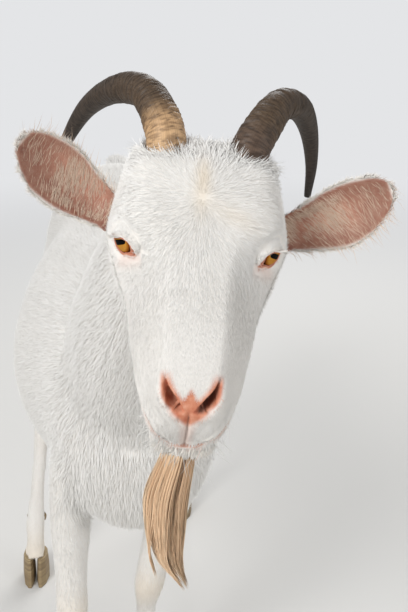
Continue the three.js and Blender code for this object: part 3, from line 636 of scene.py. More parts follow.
def body_surface(voxel):
    """One closed surface over all the flesh. The triangles are carried through lenses over
    the head, eyes and nose, made into one skin of even squares, and carried back, so that the
    squares are finest round the eyes and the nose. A ball at each eye and another at the chin
    fill the eye sockets and the hollow that the beard's solid leaves."""
    lean = np.linspace(0, math.pi, 26)[1:-1, None, None]
    turn = np.linspace(0, 2 * math.pi, 40, endpoint=False)[None, :, None]
    ball = np.concatenate([np.sin(lean) * np.cos(turn), np.sin(lean) * np.sin(turn),
                           np.cos(lean) + 0 * turn], -1)
    size = EYE["radius"] + 1.2
    v, tri = capped(ball * size * MM)
    chin = head_point(*(mid + half * k for mid, half, k in zip(CHIN_MIDDLE, CHIN_HALF, (v / size / MM).T)))
    fillings = [(v + EYES[side])[tri] for side in SIDES] + [chin[tri]]
    p = np.concatenate([soup(name, 2) for name in FLESH] + fillings)
    place, gain, reach = HEAD_LENS
    lenses = [(head_point(*place), lens(gain, reach, 2 * reach))]
    for place, (finer, reach) in ((EYES[-1], EYE_LENS), (EYES[1], EYE_LENS),
                                  (head_point(*NOSE_MIDDLE), NOSE_LENS)):
        for centre, table in lenses:
            place = through(place[None], centre, table)[0]
        lenses.append((place, lens(finer, reach * gain * MM, reach * gain * 2 * MM)))
    p = p.reshape(-1, 3)
    for centre, table in lenses:
        p = through(p, centre, table)
    mould = put_mesh("mould", p, np.arange(len(p)).reshape(-1, 3), [])
    remesh = mould.modifiers.new("skin", "REMESH")
    remesh.mode, remesh.voxel_size, remesh.adaptivity = "VOXEL", voxel * MM, 0.0
    made = mould.evaluated_get(bpy.context.evaluated_depsgraph_get()).to_mesh()
    v = np.empty(len(made.vertices) * 3, np.float32)
    made.vertices.foreach_get("co", v)
    corners = np.empty(len(made.loops), np.int32)
    made.loops.foreach_get("vertex_index", corners)
    if len(corners) != 4 * len(made.polygons):
        raise RuntimeError("the skin isn't made of squares only")
    bpy.data.objects.remove(mould)
    v, faces = v.reshape(-1, 3).astype(float), corners.reshape(-1, 4)
    for centre, table in reversed(lenses):
        v = through(v, centre, table, back=True)
    return biggest(v, faces)


def biggest(v, faces):
    """Only the largest connected shell: labels run along the edges until nothing changes."""
    i, j = neighbours(faces)
    label = np.arange(len(v))
    while True:
        low = np.minimum(label[i], label[j])
        new = label.copy()
        np.minimum.at(new, i, low)
        np.minimum.at(new, j, low)
        new = new[new]
        if np.array_equal(new, label):
            break
        label = new
    most = np.bincount(label).argmax()
    keep = label == most
    index = np.cumsum(keep) - 1
    return v[keep], index[faces[keep[faces[:, 0]]]]


def coat_measures(p, share):
    """For places on the skin: depth of the coat, length and width of its tufts and how far
    they stand out, in millimetres, blended from the nodes around each place."""
    x, s, u = in_head(p)
    m = share @ np.array([COAT[name] for name in FLESH], float)
    head, jaw = share[:, PLACE["head"]], share[:, PLACE["jaw"]]
    legs = share[:, [PLACE[leg] for leg in LEGS]].sum(1)
    muzzle = head * ease(s, 150, 225)
    poll = head * ease(56 - s, 0, 30) * ease(u, 12, 36)
    brow = head * bell(s - 80, 36) * ease(u, 20, 45)
    m[:, 0] += -0.9 * muzzle + 3.2 * poll + 0.9 * brow
    m[:, 1] += -4.0 * muzzle + 12 * poll + 3.5 * brow - 4 * jaw * ease(s, 200, 240)
    m[:, 2] += -0.25 * muzzle + 0.3 * poll + 0.1 * brow
    m[:, 3] += 3.0 * poll + 0.3 * brow
    thigh = legs * ease(p[:, 2], 0.40, 0.58)
    low = legs * ease(0.26 - p[:, 2], 0, 0.14)
    m[:, 0] += 3.0 * thigh - 1.0 * low
    m[:, 1] += 13 * thigh - 5 * low
    m[:, 1] *= 1 - 0.5 * legs * ease(0.07 - p[:, 2], 0, 0.03)
    m[:, 2] += 0.6 * thigh - 0.4 * low
    for side in SIDES:
        _, _, _, r, gap = round_eye(p, side)
        near = bell(np.maximum(gap, 0), 12) * (r < 45)
        m[:, 0] -= 0.8 * near * head
        m[:, 1] -= 0.42 * near * head * m[:, 1]
        m[:, 2] -= 0.25 * near * head * m[:, 2]
    whorl = head * bell(np.hypot(x, s - WHORL_S), 16) * (u > 0)
    m[:, 1] *= 1 - 0.45 * whorl
    m[:, 2] *= 1 - 0.2 * whorl
    flank = share[:, PLACE["trunk"]] * ease(0.52 - p[:, 2], 0, 0.12)
    m[:, 1] += 6 * flank
    m[:, 0] = np.maximum(m[:, 0], 0.4)
    return m


def lie_of_coat(p, n, share):
    """The way the hair lies at each place: out from a whorl between the eyes on the head, to
    the tip on the ears, down the neck, back and down over the trunk and down the legs."""
    x, s, u = in_head(p)
    face = unit(head_way(1.25 * x, s - WHORL_S, np.where(u < -10, -20.0, 0)))
    for side in SIDES:
        a, b, _, r, gap = round_eye(p, side)
        _, _, eye_up, fore = eye_frame(side)
        away = (a - LID_MIDDLE[0])[:, None] * fore + (b - LID_MIDDLE[1])[:, None] * eye_up
        near = bell(np.maximum(gap, 0), 9) * (r < 45)
        face = face + 2.2 * near[:, None] * unit(away)
    for side in SIDES:
        off = x - side * 17
        near = bell(off, 12) * bell(s - u - 224, 16) * (s > 205)
        face = face + 1.5 * near[:, None] * head_way(off * 0.5 + side * 2, 3.0, 4.0) / 6
    face = unit(face)
    ways = np.zeros((len(p), len(FLESH), 3))
    ways[:, PLACE["head"]] = face
    ways[:, PLACE["jaw"]] = head_way(0.004 * x, np.where(s > 215, -0.2, -1.0),
                                     np.where(s > 215, -1.0, -0.3))
    ways[:, PLACE["neck"]] = NECK_WAY
    low, high = (np.array(c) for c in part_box("trunk"))
    along = (p[:, 1] - low[1]) / (high[1] - low[1])
    rump, breast = ease(along, 0.8, 1.0), ease(0.16 - along, 0, 0.16)
    sides = np.abs(n[:, 0])
    ways[:, PLACE["trunk"]] = np.stack([0.1 * n[:, 0], np.ones(len(p)) - 0.7 * rump - 0.75 * breast,
                                        -0.1 - 0.45 * sides - 1.3 * rump - 1.2 * breast], -1)
    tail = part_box("tail")
    t = (p[:, 1] - tail[0][1]) / (tail[1][1] - tail[0][1])
    ways[:, PLACE["tail"]] = np.stack([0 * t, 1 + 0 * t, 0.5 - 1.9 * t], -1)
    ways[:, PLACE["udder"]] = (0, 0.3, -1)
    top = ease(p[:, 2], 0.38, 0.6)
    for name in LEGS:
        ways[:, PLACE[name]] = np.stack([0 * top, 0.12 + 0.5 * top, 0 * top - 1], -1)
    for side, word in SIDES.items():
        ways[:, PLACE["ear_" + word]] = ear_frame(side)[2]
    up = unit(np.einsum("ij,ijk->ik", share, unit(ways)))
    return laid_flat(up, n)


def markings(p, n, share):
    """Cream, bare pink and dark, each from 0 to 1, for places on skin or coat, as bells and
    eased edges about named places of the body. The dark is painted shade in hollows and
    creases, and on the ears also their own brown-pink."""
    x, s, u = in_head(p)
    near = (np.abs(x) < 90) & (s > -20) & (s < 290) & (np.abs(u) < 110)
    off, w = np.abs(x), s - u
    cream = 0.36 * bell(x + 1, 5) * bell(s - 72, 20) * ease(u, 35, 50) \
        + 0.16 * bell(x - 22, 18) * bell(s - 88 - 0.3 * x, 7) * ease(u, 30, 45)
    cream = cream + 0.55 * bell(off, 24) * bell(s - 240, 26) * ease(-u, 44, 58)
    slit = nostril_gap(off, w)
    past = off > nostril_line(w)
    band = ease(np.where(past, 3.2, 7.0) - slit, 0, np.where(past, 3.0, 6.0)) * ease(w, 198, 214)
    wedge = ease(w - 227 + 10 * bell(x, 3.5), -3, 5) * ease(263 - 1.3 * off - w, -4, 7) \
        * ease(15 - off, -4, 4)
    over = u - mouth_line(x, s)
    groove = bell(x, 4.5) * ease(w, 246, 252) * ease(over, -2, 2)
    wide = 1 - ease(off, 10, 40)
    lips = ease(1.8 - over, -1.5, 1.5) * ease(over + 1.6 + 2.0 * wide, -1.5, 1.5) * ease(s, 205, 245) \
        * (0.25 + 0.6 * wide)
    # painted shade: a dark line on the crease where the lips meet
    shade_between_lips = 0.7 * bell(over, 0.9) * ease(s, 200, 225)
    # painted shade inside the nostrils, deeper in the left one (x > 0) than in the right one
    nostrils = ease(0.4 - slit, 0, 2.4) * (s > 215) * np.where(x < 0, 0.3, 0.92)
    # painted shade: a thin dark line down the groove of the upper lip
    cleft_shade = 0.5 * bell(x, 0.75) * ease(w, 246, 250) * ease(over, -1, 1)
    muzzle = near & (s > 190) & (off < 60) & (u > -70)
    pad = np.maximum(np.maximum(band, wedge) * (s > 215), 0.3 * groove)
    pink = np.where(muzzle, np.maximum(pad, lips), 0)
    # painted shade: the dark of the mouth's line, the nostrils and the lip's groove
    dark = np.where(muzzle, np.maximum(shade_between_lips, np.maximum(nostrils, cleft_shade)), 0)
    for side, word in SIDES.items():
        a, b, c, r, gap = round_eye(p, side)
        front = ease(c, 0, 5) * (r < 40)
        under = ease(-b, -6, 4) * ease(a, -10, 4)
        rim = ease(1.0 + 1.5 * under + 0.8 * ease(a, 8, 14) - gap, 0, 2.0)
        pink = np.maximum(pink, front * 0.95 * rim)
        pink = np.maximum(pink, front * 0.22 * ease(13 - gap, 0, 9) * under * ease(a, -6, 6))
        # painted shade at the lids' opening, where they tuck in against the eyeball, less at the inner corner
        dark = np.maximum(dark, front * 0.35 * ease(0.5 - gap, 0, 1.2) * (1 - 0.8 * ease(a, 8, 12)))
        edge, t, a, ear = ear_edge(side, p)
        mine = share[:, PLACE["ear_" + word]]
        inside = np.where(ear, ease(dot(n, ear_frame(side)[3]), 0.05, 0.4), 0) * ease(edge, 1.5, 5.0) \
            * ease(mine, 0.3, 0.7)
        pink = np.maximum(pink, 0.88 * inside)
        # the inside of the ear: its own brown-pink, less in its middle, and painted shade deepening towards
        # its base
        dark = np.maximum(dark, inside * (0.6 - 0.56 * bell(t - 0.5, 0.24) * bell(a - 4, 13)
                                           + 0.1 * ease(0.3 - t, 0, 0.2)))
    low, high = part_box("udder")
    bag = ease(high[2] - 0.05 - p[:, 2], 0, 0.03) * bell(p[:, 0] - (low[0] + high[0]) / 2, 0.075) \
        * bell(p[:, 1] - (low[1] + high[1]) / 2, 0.085)
    pink = np.maximum(pink, 0.8 * bag * (p[:, 2] > low[2] - 0.01))
    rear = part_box("trunk")[1][1]
    under_tail = bell(p[:, 0], 0.016) * bell(p[:, 1] - rear, 0.03) * bell(p[:, 2] - 0.67, 0.045)
    pink = np.maximum(pink, 0.7 * under_tail)
    for leg in LEGS:
        low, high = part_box(leg)
        fore_leg = leg.startswith("fore")
        knee = KNEE[leg[:4]]
        cream = cream + (0.42 if fore_leg else 0.3) * bell(p[:, 2] - knee, 0.035) \
            * ease(-n[:, 1] if fore_leg else n[:, 1], -0.3, 0.7) \
            * bell(p[:, 0] - (low[0] + high[0]) / 2, 0.09) * (p[:, 2] < 0.4) * 0.5
    cream = cream + 0.3 * ease(0.13 - p[:, 2], 0, 0.08)
    return np.clip(np.stack([cream, pink, dark, np.ones(len(p))], -1), 0, 1)


def nostril_line(w):
    """How far from the middle a nostril's slit runs, by the way w down and round the nose: it
    starts at off and bows in by bow times the part gone to the power 1.8."""
    gone = np.clip((w - NOSTRIL["top"]) / NOSTRIL["run"], 0, 1)
    return NOSTRIL["off"] - NOSTRIL["bow"] * gone ** 1.8


def nostril_gap(off, w):
    """Distance in millimetres from the nearer nostril's slit, which is narrow above and widens
    towards its lower, inner end; below 0 inside it."""
    top = NOSTRIL["top"]
    t = np.clip((w - top) / NOSTRIL["run"], 0, 1)
    past = np.maximum(np.maximum(top - w, w - (top + 34)), 0) / math.sqrt(2)
    half = 1.1 + 2.5 * ease(t, 0.1, 0.7) - 0.7 * ease(t, 0.85, 1)
    return np.hypot((off - nostril_line(w)) * (1 - 0.25 * t), past) - half


def shape_face(v, n):
    """Folds of the face as moves of the places: lids wrapped on the eyeball with an open
    almond, creases over and under them, nostrils sunk into the nose, the groove of the upper
    lip, the line of the mouth and the wrinkles above the nose."""
    x, s, u = in_head(v)
    v = v.copy()
    for side in SIDES:
        a, b, c, r, gap = round_eye(v, side)
        reach = (r < 36) & (c > 0.5)
        above = ease(b, -2, 5)
        corner = corner_swell(a)
        lid = EYE["radius"] + 1.0 + corner + (0.5 + 0.5 * above) * bell(gap - 2.2, 2.6) \
            + 0.25 * ease(gap, 0, 6)
        crease = 0.7 * bell(gap - 5.6, 1.6) * above + 0.6 * bell(gap - 5.0, 1.4) * ease(-b, 0, 5)
        hold = ease(10 - gap, 0, 7) * ease(c, 0.5, 4)
        aim = lid * hold + r * (1 - hold)
        aim = np.where(gap > 0, np.where(aim > r, aim, r + (aim - r) * 0.8) - crease,
                       np.minimum(r, EYE["radius"] - 2.0 + 1.5 * corner))
        d = (v - EYES[side]) / MM
        out = d / np.maximum(r, 1e-6)[:, None]
        v = np.where(reach[:, None], EYES[side] + out * aim[:, None] * MM, v)
    front = head_way(0, 1, 0)
    near = (s > 205) & (np.abs(x) < 45) & (u > -20)
    off, w = np.abs(x), s - u
    gap = nostril_gap(off, w)
    sink = 9.0 * ease(1.0 - gap, 0, 3.4) * ease(w, 204, 216)
    wing = 0.9 * bell(gap - 3.4, 2.6) * (off > nostril_line(w)) * ease(w, 204, 214)
    middle_pad = 0.7 * bell(off - 5, 4) * bell(w - 246, 10)
    sink, wing = np.where(near, sink, 0), np.where(near, wing + middle_pad, 0)
    over = u - mouth_line(x, s)
    groove = 1.7 * bell(x, 1.2) * ease(w, 240, 250) * ease(over, -1, 3) * (s > 230)
    mouth = 2.8 * bell(over, 1.3) * ease(s, 190, 206) \
        - (1.4 * bell(over - 4.6, 3.2) + 1.2 * bell(over + 4.4, 2.8)) * ease(s, 198, 230)
    chin = 2.0 * bell(u + 47, 10) * ease(s, 226, 244) * (1 - ease(off, 12, 30))
    wrinkle = 0.14 * np.sin(s * 0.9 + 0.02 * x * x) * bell(s - 222, 9) * ease(u, 16, 26) * bell(x, 12)
    muzzle = (s > 180) & (off < 60) & (u > -75) & (u < 60)
    move = np.where(muzzle, mouth + wrinkle + groove - chin, 0) - wing
    v = v - n * move[:, None] * MM
    return v - front * (sink * 0.6)[:, None] * MM - n * (sink * 0.4)[:, None] * MM


def make_skin_arrays(voxel):
    """The skin's places, squares, normals, shares of the nodes, coat measures, lie, marks and
    bend along the lie, worked out once and kept."""
    v, faces = body_surface(voxel)
    edges = neighbours(faces)
    v = averaged(v, edges, 8, 0.6, -0.62)
    owner = nearest_node(v)
    share = np.eye(len(FLESH))[owner]
    body = share[:, [PLACE[k] for k in ("neck", "trunk", "tail", "udder") + LEGS]].sum(1)
    softer = averaged(v, edges, 24, 0.6, -0.61)
    share = averaged(share, edges, 14, 0.7)
    share = share / share.sum(1, keepdims=True)
    v = v + (softer - v) * ease(averaged(body, edges, 10, 0.7), 0.5, 0.95)[:, None]
    joint = averaged(4 * share[:, PLACE["neck"]] * share[:, PLACE["trunk"]], edges, 8, 0.6)
    n = normals_of(v, faces)
    fill = np.clip(dot(averaged(v, edges, 220, 0.5) - v, n), 0, 0.022) * ease(joint, 0, 0.25)
    v = v + averaged(n, edges, 4, 0.5) * averaged(fill, edges, 6, 0.6)[:, None]
    n = normals_of(v, faces)
    m = coat_measures(v, share)
    v = v - averaged(n, edges, 2, 0.5) * (m[:, 0] * MM)[:, None]
    v = averaged(v, edges, 2, 0.5, -0.53)
    n = normals_of(v, faces)
    v = shape_face(v, n)
    n = normals_of(v, faces)
    soft_n = unit(averaged(n, edges, 3, 0.6))
    lie = lie_of_coat(v, soft_n, share)
    lie = unit(averaged(lie, edges, 6, 0.6))
    lie = laid_flat(lie, soft_n)
    i, j = edges
    step = v[j] - v[i]
    size = np.maximum(dot(step, step), 1e-12)
    curve = dot(soft_n[j] - soft_n[i], step) / size
    bend, weight = np.zeros(len(v)), np.full(len(v), 1e-9)
    for k in (i, j):
        w = dot(step, lie[k]) ** 2 / size
        bend += np.bincount(k, w * curve, len(v))
        weight += np.bincount(k, w, len(v))
    bend = averaged(bend / weight, edges, 4, 0.6)
    store.update(v=v, faces=faces, n=n, soft_n=soft_n, share=share, measures=m, lie=lie,
                 bend=bend, marks=markings(v, n, share))
    return store


def skin_data():
    """What the skin operator kept for the coat."""
    if "v" not in store:
        raise RuntimeError("make the skin before its coat")
    return store


# ------------------------------------------------------------------ coat
def tuft_mesh(root, normal, lie, length, width, rise, bend, sway, rings):
    """Slim three-sided spikes, all at once, with soft shading normals. The middle line of a
    tuft starts a little under the skin, runs along the lie by its length times t, rises by
    rise times 1 - (1 - t)^2 and sinks by half the skin's bend times the square of the way
    gone; sway moves it sideways by t^2. Its width is that of a leaf, 0.75 at the root, 1 at a
    third and nothing at the tip, and its ridge stands a quarter of its width high."""
    t = np.linspace(0, 1, rings + 1)
    side = np.cross(normal, lie)
    gone = length[:, None] * t
    height = rise[:, None] * (1 - (1 - t) ** 2) - bend[:, None] * gone ** 2 / 2 - 0.0007 * (1 - t)
    line = root[:, None] + lie[:, None] * gone[..., None] + normal[:, None] * height[..., None] \
        + side[:, None] * (sway[:, None] * t ** 2)[..., None]
    wide = (width[:, None] * np.interp(t, (0, 0.33, 0.66, 1), (0.75, 1.0, 0.72, 0.0)))[:, :-1, None]
    v, faces, one, per, t = spikes(line, wide * side[:, None] / 2, wide * normal[:, None] * 0.25)
    own = np.stack([normal - 0.45 * side, normal + 0.45 * side, normal], 1)
    own = np.concatenate([np.tile(own, (1, rings, 1)), normal[:, None]], 1)
    return v, faces, per, t, own[:, one]


def sample(weight, count, rng):
    """Places strewn on the skin by area times weight: a square is drawn by its share, then a
    place in it by two random parts, and values are mixed from its corners by those parts."""
    d = skin_data()
    v, faces = d["v"], d["faces"]
    area = np.linalg.norm(face_ways(v, faces), axis=1) / 2
    chance = area * weight[faces].mean(1)
    if chance.sum() <= 0:
        raise RuntimeError("nothing to strew tufts on")
    total = np.cumsum(chance)
    pick = np.searchsorted(total, (np.arange(count) + rng.random(count)) / count * total[-1])
    pick = np.minimum(pick, len(faces) - 1)
    a, b = rng.random((2, count))
    parts = np.stack([(1 - a) * (1 - b), a * (1 - b), a * b, (1 - a) * b], -1)
    corner = faces[pick]

    def read(values):
        return np.einsum("ij,ij...->i...", parts, values[corner])
    return read


def round_map(p, centre, axis, reach):
    """An unwrap of a body part: the angle round an axis through a centre across, and the way
    along the axis upwards, both within 0.02 to 0.98."""
    axis = unit(np.array(axis, float))
    first = unit(np.cross(axis, (0.31, 0.17, 0.93)))
    second = np.cross(axis, first)
    d = p - centre
    turn = np.arctan2(d @ first, d @ second) / (2 * math.pi) + 0.5
    along = (d @ axis) / reach + 0.5
    return 0.02 + 0.96 * np.stack([turn, np.clip(along, 0, 1)], -1)


def strew(name, weight, count, seed, chart, rings=1, scale=(1, 1, 1), wander=0.14, way=None,
          tint=(0.5, 0.1), plain=None, glow=(0, 0, 0)):
    """One piece of the coat: count tufts where weight is, each with its own length, width,
    rise, turn and tone; chart is centre, axis and reach of its unwrap, way gives the lie from
    root and lie where it isn't the coat's own, tint is the middle and spread of the tone,
    plain gives the markings where they aren't those of the skin beneath, and glow leans the
    shading."""
    rng = np.random.default_rng(seed)
    read = sample(weight, count, rng)
    d = skin_data()
    root, normal, lie = read(d["v"]), unit(read(d["soft_n"])), read(d["lie"])
    if way is not None:
        lie = way(root, lie)
    depth, length, width, lift = read(d["measures"]).T * MM
    bend, marks = read(d["bend"]), read(d["marks"])
    if plain is not None:
        marks = np.tile(plain, (count, 1))
    flow = waves(root)
    turn = wander * rng.standard_normal(count) + 0.16 * flow
    lie = laid_flat(lie, normal)
    side = np.cross(normal, lie)
    lie = unit(lie * np.cos(turn)[:, None] + side * np.sin(turn)[:, None])
    length = length * scale[0] * rng.uniform(0.65, 1.2, count)
    width = width * scale[1] * rng.uniform(0.7, 1.3, count)
    rise = scale[2] * (depth * rng.uniform(0.35, 1.0, count) + lift * rng.uniform(0, 1, count) ** 3)
    bend = np.clip(bend, -4, 60)
    v, faces, per, t, shade = tuft_mesh(root, normal, lie, length, width, rise, bend,
                                        length * 0.12 * rng.standard_normal(count), rings)
    shade = unit(shade + glow + 0.14 * rng.standard_normal((count, 1, 1, 3))).reshape(-1, 3, 3)
    tone = np.clip(tint[0] + tint[1] * rng.standard_normal(count) + 0.1 * flow, 0, 1)
    tone = (tone[:, None] + 0.22 * (t[None] - 0.5)).ravel()
    uv = patch_map(round_map(root, *chart), per, t)
    piece = put_mesh(name, v, faces, [find_material("white_hair", coat_material)], {"OFBake": uv},
                     values={"tone": np.clip(tone, 0, 1), "marks": np.repeat(marks, per, 0),
                             "custom_normal": leaning(shade, v, faces)})
    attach(piece, "root")


def waves(p):
    """A soft swirl between -1 and 1: three sines of mixed coordinates, some 50 to 80 mm long."""
    return (np.sin(p @ (70, 31, 12) + 1.3) + np.sin(p @ (-24, 83, 45) + 4.1)
            + np.sin(p @ (38, -52, 96))) / 3


def share_of(*names):
    """The share of some nodes at every place of the skin, sharpened to an edge half way."""
    total = skin_data()["share"][:, [PLACE[name] for name in names]].sum(1)
    return ease(total, 0.42, 0.58)


def haired():
    """1 where the skin carries hair and 0 where it is bare."""
    marks = skin_data()["marks"]
    return np.clip(1 - 1.25 * np.maximum(marks[:, 1], marks[:, 2]), 0, 1)


# ------------------------------------------------------------------ settings
def tint_setting(name, what, code):
    """A colour setting that starts at a hex colour."""
    return bpy.props.FloatVectorProperty(name=name, description=what, default=colour(code)[:3],
                                         min=0, max=1, subtype="COLOR")


class GoatCoatSettings(bpy.types.PropertyGroup):
    """Sizes and colours of skin and coat."""

    square: bpy.props.FloatProperty(
        name="Square", description="Side of the skin's squares on the body, in millimetres",
        default=8.3, min=3, max=12)
    density: bpy.props.FloatProperty(
        name="Density", description="Number of tufts as a share of the full coat",
        default=1.0, min=0.05, max=1.5, subtype="FACTOR")
    cream: tint_setting("Cream", "Colour of the stained hair on whorl, knees and chin", "DDC49A")


class GoatBeardSettings(bpy.types.PropertyGroup):
    """Sizes and colours of the beard."""

    width: bpy.props.FloatProperty(
        name="Width", description="Width of the beard as a share of the full one",
        default=1.0, min=0.3, max=1.5, subtype="FACTOR")
    strands: bpy.props.IntProperty(
        name="Strands", description="Number of strands", default=1500, min=50, max=2600)
    pale: tint_setting("Pale", "Lit colour of the strands", "F0D6B6")
    deep: tint_setting("Deep", "Deep colour of the strands", "D2A278")


class GoatHornSettings(bpy.types.PropertyGroup):
    """Sizes and colours of the horns and eyes."""

    rings: bpy.props.IntProperty(
        name="Rings", description="Growth rings that stand out along a horn", default=56, min=4, max=90)
    ring_height: bpy.props.FloatProperty(
        name="Ring height", description="How far a ring stands out",
        default=0.0010, min=0, max=0.004, unit="LENGTH")
    iris: tint_setting("Iris", "Colour of the iris", "D59C44")


class GoatStageSettings(bpy.types.PropertyGroup):
    """Floor, light and camera."""

    floor: tint_setting("Floor", "Colour of the floor", "D6D5D2")
    key: bpy.props.FloatProperty(
        name="Key light", description="Power of the main lamp", default=74.0, min=0, unit="POWER")
    lens: bpy.props.FloatProperty(
        name="Lens", description="Focal length", default=0.05, min=0.02, max=0.3, unit="CAMERA")


# ------------------------------------------------------------------ operators
class GOAT_OT_stage(bpy.types.Operator):
    """Floor, room light, three soft lamps and the camera"""

    bl_idname = "goat.stage"
    bl_label = "Stage"

    def execute(self, context):
        stage = context.scene.goat_stage
        tone = tuple(stage.floor) + (1.0,)
        air = colour("E4E5E7")
        low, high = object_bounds()
        mid = (low + high) / 2
        material, tree, shader = new_material("studio_floor", 0.9, 0.2)
        shader.inputs["Base Color"].default_value = tone
        # the floor fades into the backdrop between 1.2 and 4.5 m from the goat
        shift = add_node(tree, "ShaderNodeVectorMath", {"operation": "SUBTRACT"}, {1: (mid.x, mid.y, 0)},
                         {0: object_places(tree)})
        far = add_node(tree, "ShaderNodeVectorMath", {"operation": "LENGTH"}, links={0: shift.outputs[0]})
        fade = add_node(tree, "ShaderNodeMapRange", {"interpolation_type": "SMOOTHSTEP"}, {1: 1.2, 2: 4.5},
                        {0: far.outputs["Value"]})
        seen = add_node(tree, "ShaderNodeLightPath")
        share = add_node(tree, "ShaderNodeMath", {"operation": "MULTIPLY"},
                         links={0: fade.outputs[0], 1: seen.outputs["Is Camera Ray"]})
        glow = add_node(tree, "ShaderNodeEmission", inputs={"Color": air, "Strength": 1.0})
        both = add_node(tree, "ShaderNodeMixShader",
                        links={0: share.outputs[0], 1: shader.outputs[0], 2: glow.outputs[0]})
        tree.links.new(both.outputs[0], tree.nodes["Material Output"].inputs["Surface"])
        corners = np.array([(mid.x + a * FLOOR_HALF, mid.y + b * FLOOR_HALF, 0)
                            for a, b in ((-1, -1), (1, -1), (1, 1), (-1, 1))])
        floor = put_mesh("studio_floor", corners, np.array([[0, 1, 2, 3]]), [material])
        floor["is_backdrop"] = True
        world = bpy.data.worlds.new("studio")
        world.use_nodes = True
        wt = world.node_tree
        back = wt.nodes["Background"]
        path = add_node(wt, "ShaderNodeLightPath")
        wt.links.new(mixed(wt, path.outputs["Is Camera Ray"], colour("F4F5F7"), air), back.inputs["Color"])
        level = add_node(wt, "ShaderNodeMix", {"data_type": "FLOAT"}, {2: 0.55, 3: 1.0},
                         {0: path.outputs["Is Camera Ray"]})
        wt.links.new(level.outputs[0], back.inputs["Strength"])
        context.scene.world = world
        for name, (place, side, part) in LAMPS.items():
            lamp = bpy.data.lights.new(name, "AREA")
            lamp.shape, lamp.size, lamp.energy = "DISK", side, stage.key * part
            thing = bpy.data.objects.new(name, lamp)
            context.scene.collection.objects.link(thing)
            thing.location = Vector(place) + Vector((mid.x, mid.y, 0))
            aim = Vector((mid.x, mid.y - 0.25, 0.75)) - thing.location
            thing.rotation_mode = "QUATERNION"
            thing.rotation_quaternion = aim.to_track_quat("-Z", "Y")
        data = bpy.data.cameras.new("camera")
        data.lens, data.sensor_width, data.dof.use_dof = stage.lens * 1000, 36, False
        camera = bpy.data.objects.new("camera", data)
        context.scene.collection.objects.link(camera)
        camera.location = Vector(HEAD_AT) + Vector(CAMERA_FROM_HEAD)
        heading, down = math.radians(CAMERA_HEADING), math.radians(CAMERA_DOWN)
        aim = Vector((math.sin(heading) * math.cos(down), math.cos(heading) * math.cos(down),
                      -math.sin(down)))
        camera.rotation_mode = "QUATERNION"
        camera.rotation_quaternion = aim.to_track_quat("-Z", "Y")
        context.scene.camera = camera
        context.scene.view_settings.view_transform = "Standard"
        return {"FINISHED"}


class GOAT_OT_skin(bpy.types.Operator):
    """One closed skin over head, neck, trunk, legs, tail, udder and ears"""

    bl_idname = "goat.skin"
    bl_label = "Skin"

    def execute(self, context):
        d = make_skin_arrays(context.scene.goat_coat.square)
        rng = np.random.default_rng(3)
        tone = np.clip(0.5 + 0.2 * waves(d["v"]) + 0.05 * rng.standard_normal(len(d["v"])), 0, 1)
        piece = put_mesh("skin", d["v"], d["faces"], [find_material("goat_hide", skin_material)],
                         values={"tone": tone, "marks": d["marks"]})
        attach(piece, "root")
        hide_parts(*FLESH)
        print("skin", len(d["v"]), "places", len(d["faces"]) * 2, "triangles")
        return {"FINISHED"}


